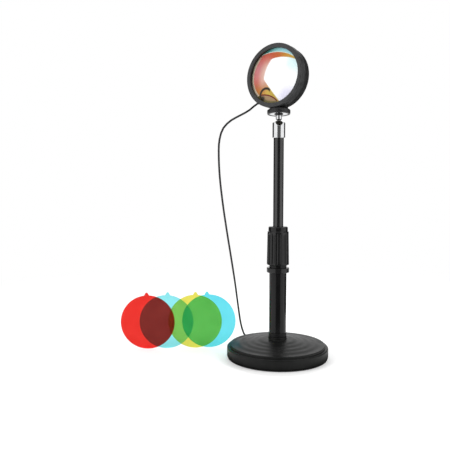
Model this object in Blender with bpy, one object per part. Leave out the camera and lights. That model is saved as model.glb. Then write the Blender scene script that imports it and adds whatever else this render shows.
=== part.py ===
"""Sunset projection lamp on a telescopic table stand, with its loose colour filters.

Metres, +Z up. The origin is the centre of the base's underside. The lamp stands as it is used:
mast raised, head leaning back a little on its ball joint and swivelled towards -X.
"""
import math

import bmesh
import bpy
from mathutils import Vector

# Fits and fineness
SEAT_GAP = 0.0003
OVERRUN = 0.002
MERGE = 0.000001
BIG_TURN = 36
MID_TURN = 24
SMALL_TURN = 12
CORNER_STEPS = 4
GROOVE_SIDES = 6
FULL_TURN = 2 * math.pi
SHARP_ANGLE = math.radians(35)

# Base
BASE_RADIUS = 0.065
BASE_WALL = 0.0022
BASE_LIFT = 0.0008
LOWER_TIER_HEIGHT = 0.0142
LOWER_TIER_ROUND = 0.0026
TOP_TIER_INSET = 0.0038
TOP_TIER_RADIUS = BASE_RADIUS - TOP_TIER_INSET
TOP_TIER_HEIGHT = 0.0173
TOP_TIER_ROUND = 0.0012
RING_COUNT = 4
RING_INSET = 0.0101
RING_RADIUS = TOP_TIER_RADIUS - RING_INSET
RING_PITCH = 0.0091
RING_RISE = 0.0020
RING_SLOPE = 0.0016
HUB_RADIUS = 0.0118
HUB_RISE = 0.0028
BOSS_RADIUS = 0.0100
PAD_INSET = 0.0030
PAD_RADIUS = BASE_RADIUS - PAD_INSET
PAD_THICKNESS = 0.0015
PLATE_THICKNESS = 0.0018
WEIGHT_INSET = 0.0050
WEIGHT_RADIUS = BASE_RADIUS - WEIGHT_INSET
WEIGHT_THICKNESS = 0.0060

# Base bolt
BOLT_RADIUS = 0.0039
BOLT_HOLE_RADIUS = 0.0043
BOLT_HEAD_RADIUS = 0.0072
BOLT_HEAD_HEIGHT = 0.0026
BOLT_HEAD_SIDES = 6
BOLT_LENGTH = 0.0330
WASHER_RADIUS = 0.0085
WASHER_THICKNESS = 0.0010
WASHER_POCKET_RADIUS = 0.0092

# Lower mast
LOWER_TUBE_RADIUS = 0.0110
LOWER_TUBE_BORE = 0.0098
LOWER_TUBE_TOP = 0.1480
TUBE_FOOT_RADIUS = 0.0115
TUBE_FOOT_HEIGHT = 0.0046
TUBE_FOOT_SPIGOT = 0.0070
STOP_RING_RADIUS = 0.0143
STOP_RING_LOW = 0.1110
STOP_RING_HEIGHT = 0.0062
STOP_RING_CHAMFER = 0.0010

# Lock nut and collet
NUT_GAP = 0.0035
NUT_FOOT_RADIUS = 0.0142
NUT_GRIP_TOP_RADIUS = 0.0135
NUT_GRIP_HEIGHT = 0.0424
NUT_SHOULDER_RADIUS = 0.0124
NUT_SHOULDER_HEIGHT = 0.0066
NUT_SHOULDER_ROUND = 0.0018
NUT_END_BAND = 0.0016
FLUTE_COUNT = 12
FLUTE_RADIUS = 0.0011
FLUTE_DEPTH = 0.0008
NUT_THREAD_CLEARANCE = 0.0003
NUT_MOUTH_CLEARANCE = 0.0005
COLLET_SKIRT = 0.0080
COLLET_RIM_HEIGHT = 0.0014
COLLET_RIM_RADIUS = 0.0108
COLLET_FOOT_RADIUS = 0.0098
COLLET_TIP_RADIUS = 0.0077
COLLET_CONE_HEIGHT = 0.0150
COLLET_SLIT = 0.0012
COLLET_SLIT_DEPTH = 0.0120

# Upper mast
UPPER_TUBE_RADIUS = 0.0065
UPPER_TUBE_BORE = 0.0053
UPPER_TUBE_LOW = 0.1210
BUSH_RADIUS = 0.0094
BUSH_HEIGHT = 0.0085
BUSH_LIP = 0.0012
BUSH_EYE = 0.0045

# Ball joint, measured from the ball's centre where no other place is given
BALL_HEIGHT = 0.2970
BALL_RADIUS = 0.0065
BALL_CLEARANCE = 0.0003
BALL_STEPS = 7
SOCKET_RADIUS = 0.0082
SOCKET_BORE = 0.0071
SOCKET_UNDER = 0.0155
SOCKET_LOW = BALL_HEIGHT - SOCKET_UNDER
SOCKET_COLLAR = 0.0030
SOCKET_RIM = 0.0036
SOCKET_EDGE = 0.0005
NOTCH_HALF_WIDTH = 0.0046
NOTCH_DEPTH = 0.0040
CUP_UNDER = 0.0080
CUP_RIM = 0.0030
CUP_EYE = 0.0020
MAST_PLUG_RIM = 0.0012
MAST_PLUG_SPIGOT = 0.0110
WAIST_RADIUS = 0.0026
NECK_RADIUS = 0.0039
NECK_LOW = 0.0070
NECK_HIGH = 0.0132
NECK_ROUND = 0.0005
STUD_RADIUS = 0.0020
LEAN_BACK = math.radians(6.56)

# Disc nut, heights from the ball's centre along the stem
DISC_NUT_RADIUS = 0.0146
DISC_NUT_LOW = 0.0158
DISC_NUT_SIDE = 0.0031
DISC_NUT_TOP_RADIUS = 0.0124
DISC_NUT_CONE = 0.0017
DISC_NUT_EDGE = 0.0005
DISC_NUT_HUB_RADIUS = 0.0054
DISC_NUT_RIB_COUNT = 24
DISC_NUT_RIB_RADIUS = 0.0009
DISC_NUT_RIB_DEPTH = 0.0004
NUT_WASHER_RADIUS = 0.0139
NUT_WASHER_THICKNESS = 0.0012
BOSS_GAP = 0.0004
STUD_REACH = 0.0052
BOSS_FOOT = DISC_NUT_LOW + DISC_NUT_SIDE + DISC_NUT_CONE + BOSS_GAP
STUD_END = BOSS_FOOT + STUD_REACH

# Head, in its own axes: +Z forward along the light, +Y up along the stem
HEAD_SWIVEL = math.radians(-36.45)
HEAD_RADIUS = 0.0402
HEAD_HEIGHT = BOSS_FOOT + HEAD_RADIUS
HEAD_FRONT = 0.0130
SEAM = 0.0026
BEZEL_LIP = 0.0020
BEZEL_LIP_ROUND = 0.0007
OPENING_INSET = 0.0056
OPENING_RADIUS = HEAD_RADIUS - OPENING_INSET
FILTER_POCKET_INSET = 0.0034
FILTER_POCKET_RADIUS = HEAD_RADIUS - FILTER_POCKET_INSET
FILTER_POCKET = 0.0006
CASING_INSET = 0.0010
CASING_RADIUS = HEAD_RADIUS - CASING_INSET
CASING_WALL = 0.0022
CASING_BACK = 0.0081
CASING_EDGE = 0.0008
CASING_LEDGE_INSET = 0.0048
CASING_LEDGE_RADIUS = CASING_RADIUS - CASING_LEDGE_INSET
CASING_LEDGE_FRONT = 0.0042
CASING_LEDGE_THICKNESS = 0.0018
SPIGOT_WALL = 0.0013
SPIGOT_FRONT = 0.0067
HEAD_BOSS_RADIUS = 0.0115
HEAD_BOSS_DEPTH = 0.0042
INSERT_RADIUS = 0.00275
INSERT_RISE = 0.0031
INSERT_LOW = BOSS_FOOT + INSERT_RISE
INSERT_LENGTH = 0.0028
INSERT_BOSS_RADIUS = 0.0050
INSERT_BOSS_HEIGHT = 0.0062
INSERT_BOSS_END = BOSS_FOOT + INSERT_BOSS_HEIGHT

# Optics
LENS_INSET = 0.0039
LENS_RADIUS = HEAD_RADIUS - LENS_INSET
LENS_EDGE = 0.0026
LENS_RIM = 0.0023
LENS_RISE = 0.0021
CAP_STEPS = 5
GASKET_THICKNESS = 0.0006
SHIELD_MOUTH = 0.0032
SHIELD_BARREL_END = -0.0060
SHIELD_WALL = 0.0012
SINK_FRONT = -0.0170
SINK_THICKNESS = 0.0030
SINK_INSET = 0.0136
SINK_RADIUS = CASING_RADIUS - SINK_INSET
SINK_FIN_COUNT = 3
SINK_FIN_THICKNESS = 0.0012
SINK_FIN_HEIGHT = 0.0036
LED_BOARD_RADIUS = 0.0120
LED_BOARD_THICKNESS = 0.0014
LED_CHIP_RADIUS = 0.0050
LED_CHIP_THICKNESS = 0.0010
CONDENSER_RADIUS = 0.0140
CONDENSER_EDGE = 0.0012
CONDENSER_RISE = 0.0045
FILM_THICKNESS = 0.0004

# Back cover
COVER_INSET = 0.0006
COVER_RADIUS = CASING_RADIUS - COVER_INSET
COVER_SHOULDER_INSET = 0.0021
COVER_SHOULDER_RADIUS = COVER_RADIUS - COVER_SHOULDER_INSET
COVER_SHOULDER = 0.0035
COVER_MID_INSET = 0.0076
COVER_MID_RADIUS = COVER_RADIUS - COVER_MID_INSET
COVER_MID = 0.0095
COVER_NEAR_INSET = 0.0131
COVER_NEAR_RADIUS = COVER_RADIUS - COVER_NEAR_INSET
COVER_NEAR = 0.0155
COVER_END_INSET = 0.0186
COVER_END_RADIUS = COVER_RADIUS - COVER_END_INSET
COVER_DEPTH = 0.0200
SINK_FIN_LENGTH = COVER_END_RADIUS
FIRST_FIN_SHARE = 0.45
FIN_PITCH_SHARE = 0.175
SINK_FIN_FIRST = COVER_END_RADIUS * FIRST_FIN_SHARE
SINK_FIN_PITCH = COVER_END_RADIUS * FIN_PITCH_SHARE
COVER_WALL = 0.0020
COVER_POCKET = 0.0024
VENT_GROUP = 3
VENT_PITCH = math.radians(17)
VENT_LENGTH = 0.0040
VENT_WIDTH = 0.0018
VENT_INSET = 0.0067
VENT_CIRCLE = CASING_RADIUS - VENT_INSET
SCREW_COUNT = 3
SCREW_INSET = 0.0058
SCREW_CIRCLE = CASING_RADIUS - SCREW_INSET
SCREW_RADIUS = 0.0013
SCREW_HEAD_RADIUS = 0.0023
SCREW_HEAD_HEIGHT = 0.0012
SCREW_HOLE_RADIUS = 0.0016
SCREW_POST_RADIUS = 0.0032
SCREW_SEAT_DEPTH = 0.0032
SCREW_LENGTH = 0.0052

# Push switch and gland on the back cover
BUTTON_UP = 0.0070
BUTTON_RADIUS = 0.0054
BUTTON_PROUD = 0.0020
BUTTON_FLANGE_RADIUS = 0.0066
BUTTON_FLANGE = 0.0008
BUTTON_PLUNGER_RADIUS = 0.0020
BUTTON_PLUNGER = 0.0006
BUTTON_ROUND = 0.0006
SWITCH_WIDTH = 0.0120
SWITCH_DEPTH = 0.0027
GLAND_DOWN = 0.0105
GLAND_NECK_RADIUS = 0.0030
GLAND_FLANGE_RADIUS = 0.0046
GLAND_FLANGE = 0.0010
GLAND_FOOT_RADIUS = 0.0042
GLAND_TIP_RADIUS = 0.0023
GLAND_LENGTH = 0.0120

# Lead
CORD_RADIUS = 0.0013
CORD_STEP = 0.0074
CORD_ARC_STEPS = 2
COIL_CLEARANCE = 0.0010
COIL_BEARING = math.radians(90)
COIL_OUTER_RADIUS = 0.0180
COIL_PITCH = 0.00305
COIL_LIFT = 0.0009
COIL_LAYER_TURNS = 2.25
COIL_CLIMB_TURNS = 0.5
COIL_STEPS = 24
COIL_ARC_STEPS = 1
TIE_WIDTH = 0.0060
TIE_THICKNESS = 0.0005
TIE_CLEARANCE = 0.0003
TIE_BEARING = math.radians(150)
KNOT_PARTS = 24

# Plug
PLUG_CLEARANCE = 0.0012
PLUG_BEARING = math.radians(47)
PLUG_BODY_LENGTH = 0.0190
PLUG_BODY_WIDTH = 0.0125
PLUG_BODY_HEIGHT = 0.0070
PLUG_BODY_ROUND = 0.0016
PLUG_RELIEF_LENGTH = 0.0060
PLUG_RELIEF_RADIUS = 0.0027
PLUG_SHELL_LENGTH = 0.0140
PLUG_SHELL_WIDTH = 0.0120
PLUG_SHELL_HEIGHT = 0.0045
PLUG_SHELL_WALL = 0.0004
PLUG_TONGUE_THICKNESS = 0.0018

# Colour filters
FILTER_RADIUS = FILTER_POCKET_RADIUS - SEAT_GAP
FILTER_THICKNESS = 0.0005
FILTER_TURN = 40
NIB_FOOT_WIDTH = 0.0068
NIB_TIP_WIDTH = 0.0036
NIB_HEIGHT = 0.0040
FILTER_FIRST_DEPTH = 0.0400
FILTER_SPACING = 0.0025
FILTER_RED_PLACE = -0.1722
FILTER_SKY_PLACE = -0.1471
FILTER_YELLOW_PLACE = -0.1084
FILTER_BLUE_PLACE = -0.0897
FILTER_RED_TURN = math.radians(-2.0)
FILTER_SKY_TURN = math.radians(2.8)
FILTER_YELLOW_TURN = math.radians(1.0)
FILTER_BLUE_TURN = math.radians(-3.8)


# Start from an empty scene
for old in list(bpy.data.objects):
    bpy.data.objects.remove(old)


# Materials
def finish(name, colour, roughness, metallic=0.0, alpha=1.0):
    material = bpy.data.materials.new(name)
    material.use_nodes = True
    shader = material.node_tree.nodes["Principled BSDF"]
    shader.inputs["Base Color"].default_value = (*colour, 1.0)
    shader.inputs["Roughness"].default_value = roughness
    shader.inputs["Metallic"].default_value = metallic
    shader.inputs["Alpha"].default_value = alpha
    return material


SATIN_BLACK = (0.018, 0.019, 0.019)
GRIP_BLACK = (0.014, 0.015, 0.015)
HEAD_BLACK = (0.022, 0.023, 0.024)
BRIGHT_CHROME = (0.80, 0.81, 0.82)
PLAIN_STEEL = (0.52, 0.53, 0.55)
CAST_GREY = (0.16, 0.16, 0.17)
NYLON_WHITE = (0.78, 0.77, 0.72)
ALLOY = (0.68, 0.69, 0.70)
BRASS_TONE = (0.62, 0.46, 0.20)
GLASS_TINT = (0.86, 0.93, 0.95)
RUBBER_BLACK = (0.012, 0.012, 0.013)
BOARD_WHITE = (0.85, 0.86, 0.84)
CHIP_YELLOW = (0.90, 0.72, 0.12)
FILM_ORANGE = (0.90, 0.30, 0.06)


# Shaping tools
def place(piece, material, parent):
    """Gives a piece its material, smooth turned faces and the empty that carries it."""
    if piece.type == "MESH":
        piece.data.shade_smooth()
        piece.data.set_sharp_from_angle(angle=SHARP_ANGLE)
    piece.data.materials.append(material)
    piece.parent = parent
    return piece


def as_object(name, shape):
    """Turns a finished bmesh into a linked object of its own."""
    bmesh.ops.remove_doubles(shape, verts=shape.verts, dist=MERGE)
    bmesh.ops.recalc_face_normals(shape, faces=shape.faces)
    mesh = bpy.data.meshes.new(name)
    shape.to_mesh(mesh)
    shape.free()
    piece = bpy.data.objects.new(name, mesh)
    bpy.context.scene.collection.objects.link(piece)
    return piece


def turned(name, outline, steps):
    """A piece turned about its own Z, from the (radius, height) points of half its section."""
    shape = bmesh.new()
    points = [shape.verts.new((radius, 0, height)) for radius, height in outline]
    for near, far in zip(points, points[1:]):
        shape.edges.new((near, far))
    if outline[0][0] > 0 or outline[-1][0] > 0:
        shape.edges.new((points[-1], points[0]))
    section = list(shape.verts) + list(shape.edges)
    bmesh.ops.spin(shape, geom=section, axis=(0, 0, 1), cent=(0, 0, 0), angle=FULL_TURN, steps=steps,
                   use_merge=True)
    return as_object(name, shape)


def prism(name, outline, low, high):
    """A straight piece with the (x, y) outline between two heights."""
    shape = bmesh.new()
    face = shape.faces.new([shape.verts.new((x, y, low)) for x, y in outline])
    grown = bmesh.ops.extrude_face_region(shape, geom=[face])
    risen = [part for part in grown["geom"] if isinstance(part, bmesh.types.BMVert)]
    bmesh.ops.translate(shape, verts=risen, vec=(0, 0, high - low))
    return as_object(name, shape)


def circle_points(radius, count, centre=(0, 0), start=0.0):
    """The corners of a regular outline round a centre."""
    points = []
    for step in range(count):
        angle = start + FULL_TURN * step / count
        points.append((centre[0] + radius * math.cos(angle), centre[1] + radius * math.sin(angle)))
    return points


def box_points(width, depth, centre=(0, 0)):
    """The corners of a rectangle round a centre."""
    left = centre[0] - width / 2
    right = centre[0] + width / 2
    near = centre[1] - depth / 2
    far = centre[1] + depth / 2
    return [(left, near), (right, near), (right, far), (left, far)]


def shaped_by(piece, tool, operation):
    """Cuts a piece with a tool, or joins the tool to it."""
    tool.hide_render = True
    tool.display_type = "WIRE"
    tool.parent = piece
    change = piece.modifiers.new(tool.name, "BOOLEAN")
    change.operation = operation
    change.object = tool
    return piece


def arc_outline(radius, height, first, last, count):
    """Points of (radius, height) along an arc of a ball centred on the axis, angles from the equator."""
    points = []
    for step in range(count + 1):
        angle = first + (last - first) * step / count
        points.append((radius * math.cos(angle), height + radius * math.sin(angle)))
    return points


def empty(name, parent, location=(0, 0, 0), rotation=(0, 0, 0)):
    """A carrier for the pieces that share an axis."""
    carrier = bpy.data.objects.new(name, None)
    bpy.context.scene.collection.objects.link(carrier)
    carrier.parent = parent
    carrier.location = location
    carrier.rotation_euler = rotation
    return carrier


# The carriers: mast axis, ball and stem axis, and the head's own axes
mast_axis = empty("mast_axis", None)
stem_axis = empty("stem_axis", mast_axis, (0, 0, BALL_HEIGHT), (-LEAN_BACK, 0, 0))
swivel_axis = empty("swivel_axis", stem_axis, (0, 0, HEAD_HEIGHT), (0, 0, HEAD_SWIVEL))
head_axis = empty("head_axis", swivel_axis, (0, 0, 0), (math.pi / 2, 0, 0))


# Base cover: two tiers, raised rings, a hub, and a boss inside down to the ballast
def ring_radius(ring):
    return RING_RADIUS - RING_PITCH * ring


def ring_height(ring):
    return TOP_TIER_HEIGHT + RING_RISE * ring


CROWN_HEIGHT = ring_height(RING_COUNT)
HUB_TOP = CROWN_HEIGHT + HUB_RISE
PLATE_LOW = PAD_THICKNESS + SEAT_GAP
PLATE_TOP = PLATE_LOW + PLATE_THICKNESS
WEIGHT_LOW = PLATE_TOP + SEAT_GAP
WEIGHT_TOP = WEIGHT_LOW + WEIGHT_THICKNESS
INNER_RADIUS = BASE_RADIUS - BASE_WALL


def base_cover_outline():
    outline = [(BASE_RADIUS, BASE_LIFT)]
    outline.append((BASE_RADIUS, LOWER_TIER_HEIGHT - LOWER_TIER_ROUND))
    bend = LOWER_TIER_ROUND * math.sin(math.pi / 4)
    outline.append((BASE_RADIUS - LOWER_TIER_ROUND + bend, LOWER_TIER_HEIGHT - LOWER_TIER_ROUND + bend))
    outline.append((BASE_RADIUS - LOWER_TIER_ROUND, LOWER_TIER_HEIGHT))
    outline.append((TOP_TIER_RADIUS, LOWER_TIER_HEIGHT))
    outline.append((TOP_TIER_RADIUS, TOP_TIER_HEIGHT - TOP_TIER_ROUND))
    outline.append((TOP_TIER_RADIUS - TOP_TIER_ROUND, TOP_TIER_HEIGHT))
    for ring in range(RING_COUNT):
        outline.append((ring_radius(ring), ring_height(ring)))
        outline.append((ring_radius(ring) - RING_SLOPE, ring_height(ring + 1)))
    outline.append((HUB_RADIUS, CROWN_HEIGHT))
    outline.append((HUB_RADIUS, HUB_TOP))
    outline.append((BOLT_HOLE_RADIUS, HUB_TOP))
    outline.append((BOLT_HOLE_RADIUS, WEIGHT_TOP + SEAT_GAP))
    outline.append((BOSS_RADIUS, WEIGHT_TOP + SEAT_GAP))
    outline.append((BOSS_RADIUS, CROWN_HEIGHT - BASE_WALL))
    outline.append((RING_RADIUS - BASE_WALL, TOP_TIER_HEIGHT - BASE_WALL))
    outline.append((TOP_TIER_RADIUS - BASE_WALL, TOP_TIER_HEIGHT - BASE_WALL))
    outline.append((INNER_RADIUS, LOWER_TIER_HEIGHT - BASE_WALL))
    outline.append((INNER_RADIUS, BASE_LIFT))
    return outline


black_plastic = finish("black_base_plastic", SATIN_BLACK, 0.42)
base_cover = place(turned("base_cover", base_cover_outline(), BIG_TURN), black_plastic, mast_axis)


# Foot pad, closing plate and ballast, stacked inside the cover
pad_outline = [(0, 0), (PAD_RADIUS, 0), (PAD_RADIUS, PAD_THICKNESS), (0, PAD_THICKNESS)]
foot_pad = place(turned("foot_pad", pad_outline, BIG_TURN), finish("foam_pad", RUBBER_BLACK, 0.95), mast_axis)

plate_outline = [(WASHER_POCKET_RADIUS, PLATE_LOW), (INNER_RADIUS - SEAT_GAP, PLATE_LOW),
                 (INNER_RADIUS - SEAT_GAP, PLATE_TOP), (WASHER_POCKET_RADIUS, PLATE_TOP)]
plate_plastic = finish("plate_plastic", GRIP_BLACK, 0.6)
base_plate = place(turned("base_plate", plate_outline, BIG_TURN), plate_plastic, mast_axis)

HEAD_LOW = PLATE_LOW
HEAD_TOP = HEAD_LOW + BOLT_HEAD_HEIGHT
WASHER_LOW = HEAD_TOP + SEAT_GAP
WASHER_TOP = WASHER_LOW + WASHER_THICKNESS
POCKET_TOP = WASHER_TOP + SEAT_GAP
weight_outline = [(WASHER_POCKET_RADIUS, WEIGHT_LOW), (WEIGHT_RADIUS, WEIGHT_LOW), (WEIGHT_RADIUS, WEIGHT_TOP),
                  (BOLT_HOLE_RADIUS, WEIGHT_TOP), (BOLT_HOLE_RADIUS, POCKET_TOP),
                  (WASHER_POCKET_RADIUS, POCKET_TOP)]
cast_ballast = finish("cast_ballast", CAST_GREY, 0.8, 0.3)
base_weight = place(turned("base_weight", weight_outline, MID_TURN), cast_ballast, mast_axis)


# Bolt and washer that clamp the base to the mast
washer_outline = [(BOLT_HOLE_RADIUS, WASHER_LOW), (WASHER_RADIUS, WASHER_LOW), (WASHER_RADIUS, WASHER_TOP),
                  (BOLT_HOLE_RADIUS, WASHER_TOP)]
zinc_steel = finish("zinc_steel", PLAIN_STEEL, 0.35, 1.0)
base_washer = place(turned("base_washer", washer_outline, SMALL_TURN), zinc_steel, mast_axis)

BOLT_TIP = HEAD_LOW + BOLT_HEAD_HEIGHT + BOLT_LENGTH
base_bolt = prism("base_bolt", circle_points(BOLT_HEAD_RADIUS, BOLT_HEAD_SIDES), HEAD_LOW, HEAD_TOP)
SHANK_START = HEAD_TOP - BOLT_HEAD_HEIGHT / 2
bolt_shank = prism("bolt_shank", circle_points(BOLT_RADIUS, SMALL_TURN), SHANK_START, BOLT_TIP)
place(shaped_by(base_bolt, bolt_shank, "UNION"), finish("bolt_steel", PLAIN_STEEL, 0.4, 1.0), mast_axis)


# Tube foot: the collar that shows on the hub, with a threaded spigot inside the tube
FOOT_LOW = HUB_TOP + SEAT_GAP
FOOT_TOP = FOOT_LOW + TUBE_FOOT_HEIGHT
SPIGOT_RADIUS = LOWER_TUBE_BORE - SEAT_GAP
SPIGOT_TOP = FOOT_TOP + TUBE_FOOT_SPIGOT
foot_outline = [(BOLT_HOLE_RADIUS, FOOT_LOW), (TUBE_FOOT_RADIUS, FOOT_LOW), (TUBE_FOOT_RADIUS, FOOT_TOP),
                (SPIGOT_RADIUS, FOOT_TOP), (SPIGOT_RADIUS, SPIGOT_TOP), (BOLT_HOLE_RADIUS, SPIGOT_TOP)]
tube_foot = place(turned("tube_foot", foot_outline, MID_TURN), finish("collar_plastic", SATIN_BLACK, 0.45),
                  mast_axis)


# Lower tube and the stop ring pressed round it
TUBE_LOW = FOOT_TOP + SEAT_GAP
tube_outline = [(LOWER_TUBE_BORE, TUBE_LOW), (LOWER_TUBE_RADIUS, TUBE_LOW),
                (LOWER_TUBE_RADIUS, LOWER_TUBE_TOP), (LOWER_TUBE_BORE, LOWER_TUBE_TOP)]
painted_steel = finish("black_painted_steel", SATIN_BLACK, 0.35, 0.2)
lower_tube = place(turned("lower_tube", tube_outline, MID_TURN), painted_steel, mast_axis)

STOP_RING_TOP = STOP_RING_LOW + STOP_RING_HEIGHT
STOP_RING_BORE = LOWER_TUBE_RADIUS + SEAT_GAP
stop_outline = [(STOP_RING_BORE, STOP_RING_LOW), (STOP_RING_RADIUS - STOP_RING_CHAMFER, STOP_RING_LOW),
                (STOP_RING_RADIUS, STOP_RING_LOW + STOP_RING_CHAMFER),
                (STOP_RING_RADIUS, STOP_RING_TOP - STOP_RING_CHAMFER / 2),
                (STOP_RING_RADIUS - STOP_RING_CHAMFER / 2, STOP_RING_TOP), (STOP_RING_BORE, STOP_RING_TOP)]
ring_plastic = finish("ring_plastic", GRIP_BLACK, 0.4)
stop_ring = place(turned("stop_ring", stop_outline, MID_TURN), ring_plastic, mast_axis)


# Lock nut: a tapered grip with flutes, a smooth shoulder, and a cone inside that squeezes the collet
NUT_LOW = STOP_RING_TOP + NUT_GAP
GRIP_TOP = NUT_LOW + NUT_GRIP_HEIGHT
NUT_TOP = GRIP_TOP + NUT_SHOULDER_HEIGHT
NUT_BORE = LOWER_TUBE_RADIUS + NUT_THREAD_CLEARANCE
NUT_MOUTH = UPPER_TUBE_RADIUS + NUT_MOUTH_CLEARANCE
RIM_LOW = LOWER_TUBE_TOP + SEAT_GAP
RIM_TOP = RIM_LOW + COLLET_RIM_HEIGHT
CONE_TOP = RIM_TOP + COLLET_CONE_HEIGHT
NUT_CONE_FOOT = COLLET_FOOT_RADIUS + SEAT_GAP
NUT_CONE_TIP = COLLET_TIP_RADIUS + SEAT_GAP
nut_outline = [(NUT_BORE, NUT_LOW), (NUT_FOOT_RADIUS - FLUTE_DEPTH, NUT_LOW),
               (NUT_FOOT_RADIUS, NUT_LOW + NUT_END_BAND / 2), (NUT_GRIP_TOP_RADIUS, GRIP_TOP),
               (NUT_SHOULDER_RADIUS, GRIP_TOP + NUT_END_BAND / 2),
               (NUT_SHOULDER_RADIUS, NUT_TOP - NUT_SHOULDER_ROUND),
               (NUT_SHOULDER_RADIUS - NUT_SHOULDER_ROUND / 3, NUT_TOP - NUT_SHOULDER_ROUND / 3),
               (NUT_SHOULDER_RADIUS - NUT_SHOULDER_ROUND, NUT_TOP), (NUT_MOUTH, NUT_TOP),
               (NUT_MOUTH, CONE_TOP + SEAT_GAP), (NUT_CONE_TIP, CONE_TOP + SEAT_GAP),
               (NUT_CONE_FOOT, RIM_TOP + SEAT_GAP), (NUT_BORE, RIM_TOP + SEAT_GAP)]
lock_nut = turned("lock_nut", nut_outline, FLUTE_COUNT * 2)


def flute_cutter(count, radius, foot_radius, top_radius, depth, low, high):
    """Straight round-bottomed grooves that follow a tapered side, as one tool."""
    shape = bmesh.new()
    for flute in range(count):
        bearing = FULL_TURN * flute / count
        rings = []
        for side_radius, height in ((foot_radius, low), (top_radius, high)):
            reach = side_radius - depth + radius
            middle = Vector((reach * math.cos(bearing), reach * math.sin(bearing), height))
            ring = []
            for x, y in circle_points(radius, GROOVE_SIDES, start=bearing):
                ring.append(shape.verts.new(middle + Vector((x, y, 0))))
            rings.append(ring)
        foot_ring, top_ring = rings
        shape.faces.new(foot_ring)
        shape.faces.new(top_ring)
        for corner in range(len(foot_ring)):
            follow = (corner + 1) % len(foot_ring)
            shape.faces.new((foot_ring[corner], foot_ring[follow], top_ring[follow], top_ring[corner]))
    return shape


flutes = flute_cutter(FLUTE_COUNT, FLUTE_RADIUS, NUT_FOOT_RADIUS, NUT_GRIP_TOP_RADIUS, FLUTE_DEPTH,
                      NUT_LOW + NUT_END_BAND, GRIP_TOP - NUT_END_BAND)
grip_flutes = as_object("grip_flutes", flutes)
place(shaped_by(lock_nut, grip_flutes, "DIFFERENCE"), finish("grip_plastic", GRIP_BLACK, 0.38), mast_axis)


# Collet: a skirt in the tube's mouth, a rim on its edge, and slit fingers in the nut's cone
COLLET_BORE = UPPER_TUBE_RADIUS + SEAT_GAP
collet_outline = [(COLLET_BORE, LOWER_TUBE_TOP - COLLET_SKIRT), (SPIGOT_RADIUS, LOWER_TUBE_TOP - COLLET_SKIRT),
                  (SPIGOT_RADIUS, RIM_LOW), (COLLET_RIM_RADIUS, RIM_LOW), (COLLET_RIM_RADIUS, RIM_TOP),
                  (COLLET_FOOT_RADIUS, RIM_TOP), (COLLET_TIP_RADIUS, CONE_TOP), (COLLET_BORE, CONE_TOP)]
collet = turned("collet", collet_outline, MID_TURN)
slit_low = CONE_TOP - COLLET_SLIT_DEPTH
slit_high = CONE_TOP + OVERRUN
slit_reach = COLLET_RIM_RADIUS * 2
for slit, (width, depth) in enumerate(((COLLET_SLIT, slit_reach), (slit_reach, COLLET_SLIT))):
    slit_tool = prism("collet_slit_%d" % slit, box_points(width, depth), slit_low, slit_high)
    shaped_by(collet, slit_tool, "DIFFERENCE")
place(collet, finish("collet_nylon", NYLON_WHITE, 0.5), mast_axis)


# Upper tube, its guide bush and the plug in its top
CUP_LOW = BALL_HEIGHT - CUP_UNDER
PLUG_RIM_TOP = CUP_LOW - SEAT_GAP
PLUG_RIM_LOW = PLUG_RIM_TOP - MAST_PLUG_RIM
UPPER_TUBE_TOP = PLUG_RIM_LOW - SEAT_GAP
upper_outline = [(UPPER_TUBE_BORE, UPPER_TUBE_LOW), (UPPER_TUBE_RADIUS, UPPER_TUBE_LOW),
                 (UPPER_TUBE_RADIUS, UPPER_TUBE_TOP), (UPPER_TUBE_BORE, UPPER_TUBE_TOP)]
upper_tube = place(turned("upper_tube", upper_outline, MID_TURN), painted_steel, mast_axis)

BUSH_SEAT = UPPER_TUBE_LOW - SEAT_GAP
BUSH_LOW = BUSH_SEAT - BUSH_LIP
BUSH_TOP = BUSH_LOW + BUSH_HEIGHT
bush_outline = [(BUSH_EYE, BUSH_LOW), (BUSH_RADIUS, BUSH_LOW), (BUSH_RADIUS, BUSH_TOP),
                (COLLET_BORE, BUSH_TOP), (COLLET_BORE, BUSH_SEAT), (BUSH_EYE, BUSH_SEAT)]
bush_nylon = finish("bush_nylon", NYLON_WHITE, 0.5)
guide_bush = place(turned("guide_bush", bush_outline, MID_TURN), bush_nylon, mast_axis)

PLUG_SPIGOT_RADIUS = UPPER_TUBE_BORE - SEAT_GAP
PLUG_RIM_RADIUS = SOCKET_BORE - SEAT_GAP
MAST_PLUG_LOW = PLUG_RIM_LOW - MAST_PLUG_SPIGOT
mast_plug_outline = [(0, MAST_PLUG_LOW), (PLUG_SPIGOT_RADIUS, MAST_PLUG_LOW),
                     (PLUG_SPIGOT_RADIUS, PLUG_RIM_LOW), (PLUG_RIM_RADIUS, PLUG_RIM_LOW),
                     (PLUG_RIM_RADIUS, PLUG_RIM_TOP), (0, PLUG_RIM_TOP)]
mast_plug_steel = finish("mast_plug_steel", PLAIN_STEEL, 0.4, 1.0)
mast_plug = place(turned("mast_plug", mast_plug_outline, MID_TURN), mast_plug_steel, mast_axis)


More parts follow.
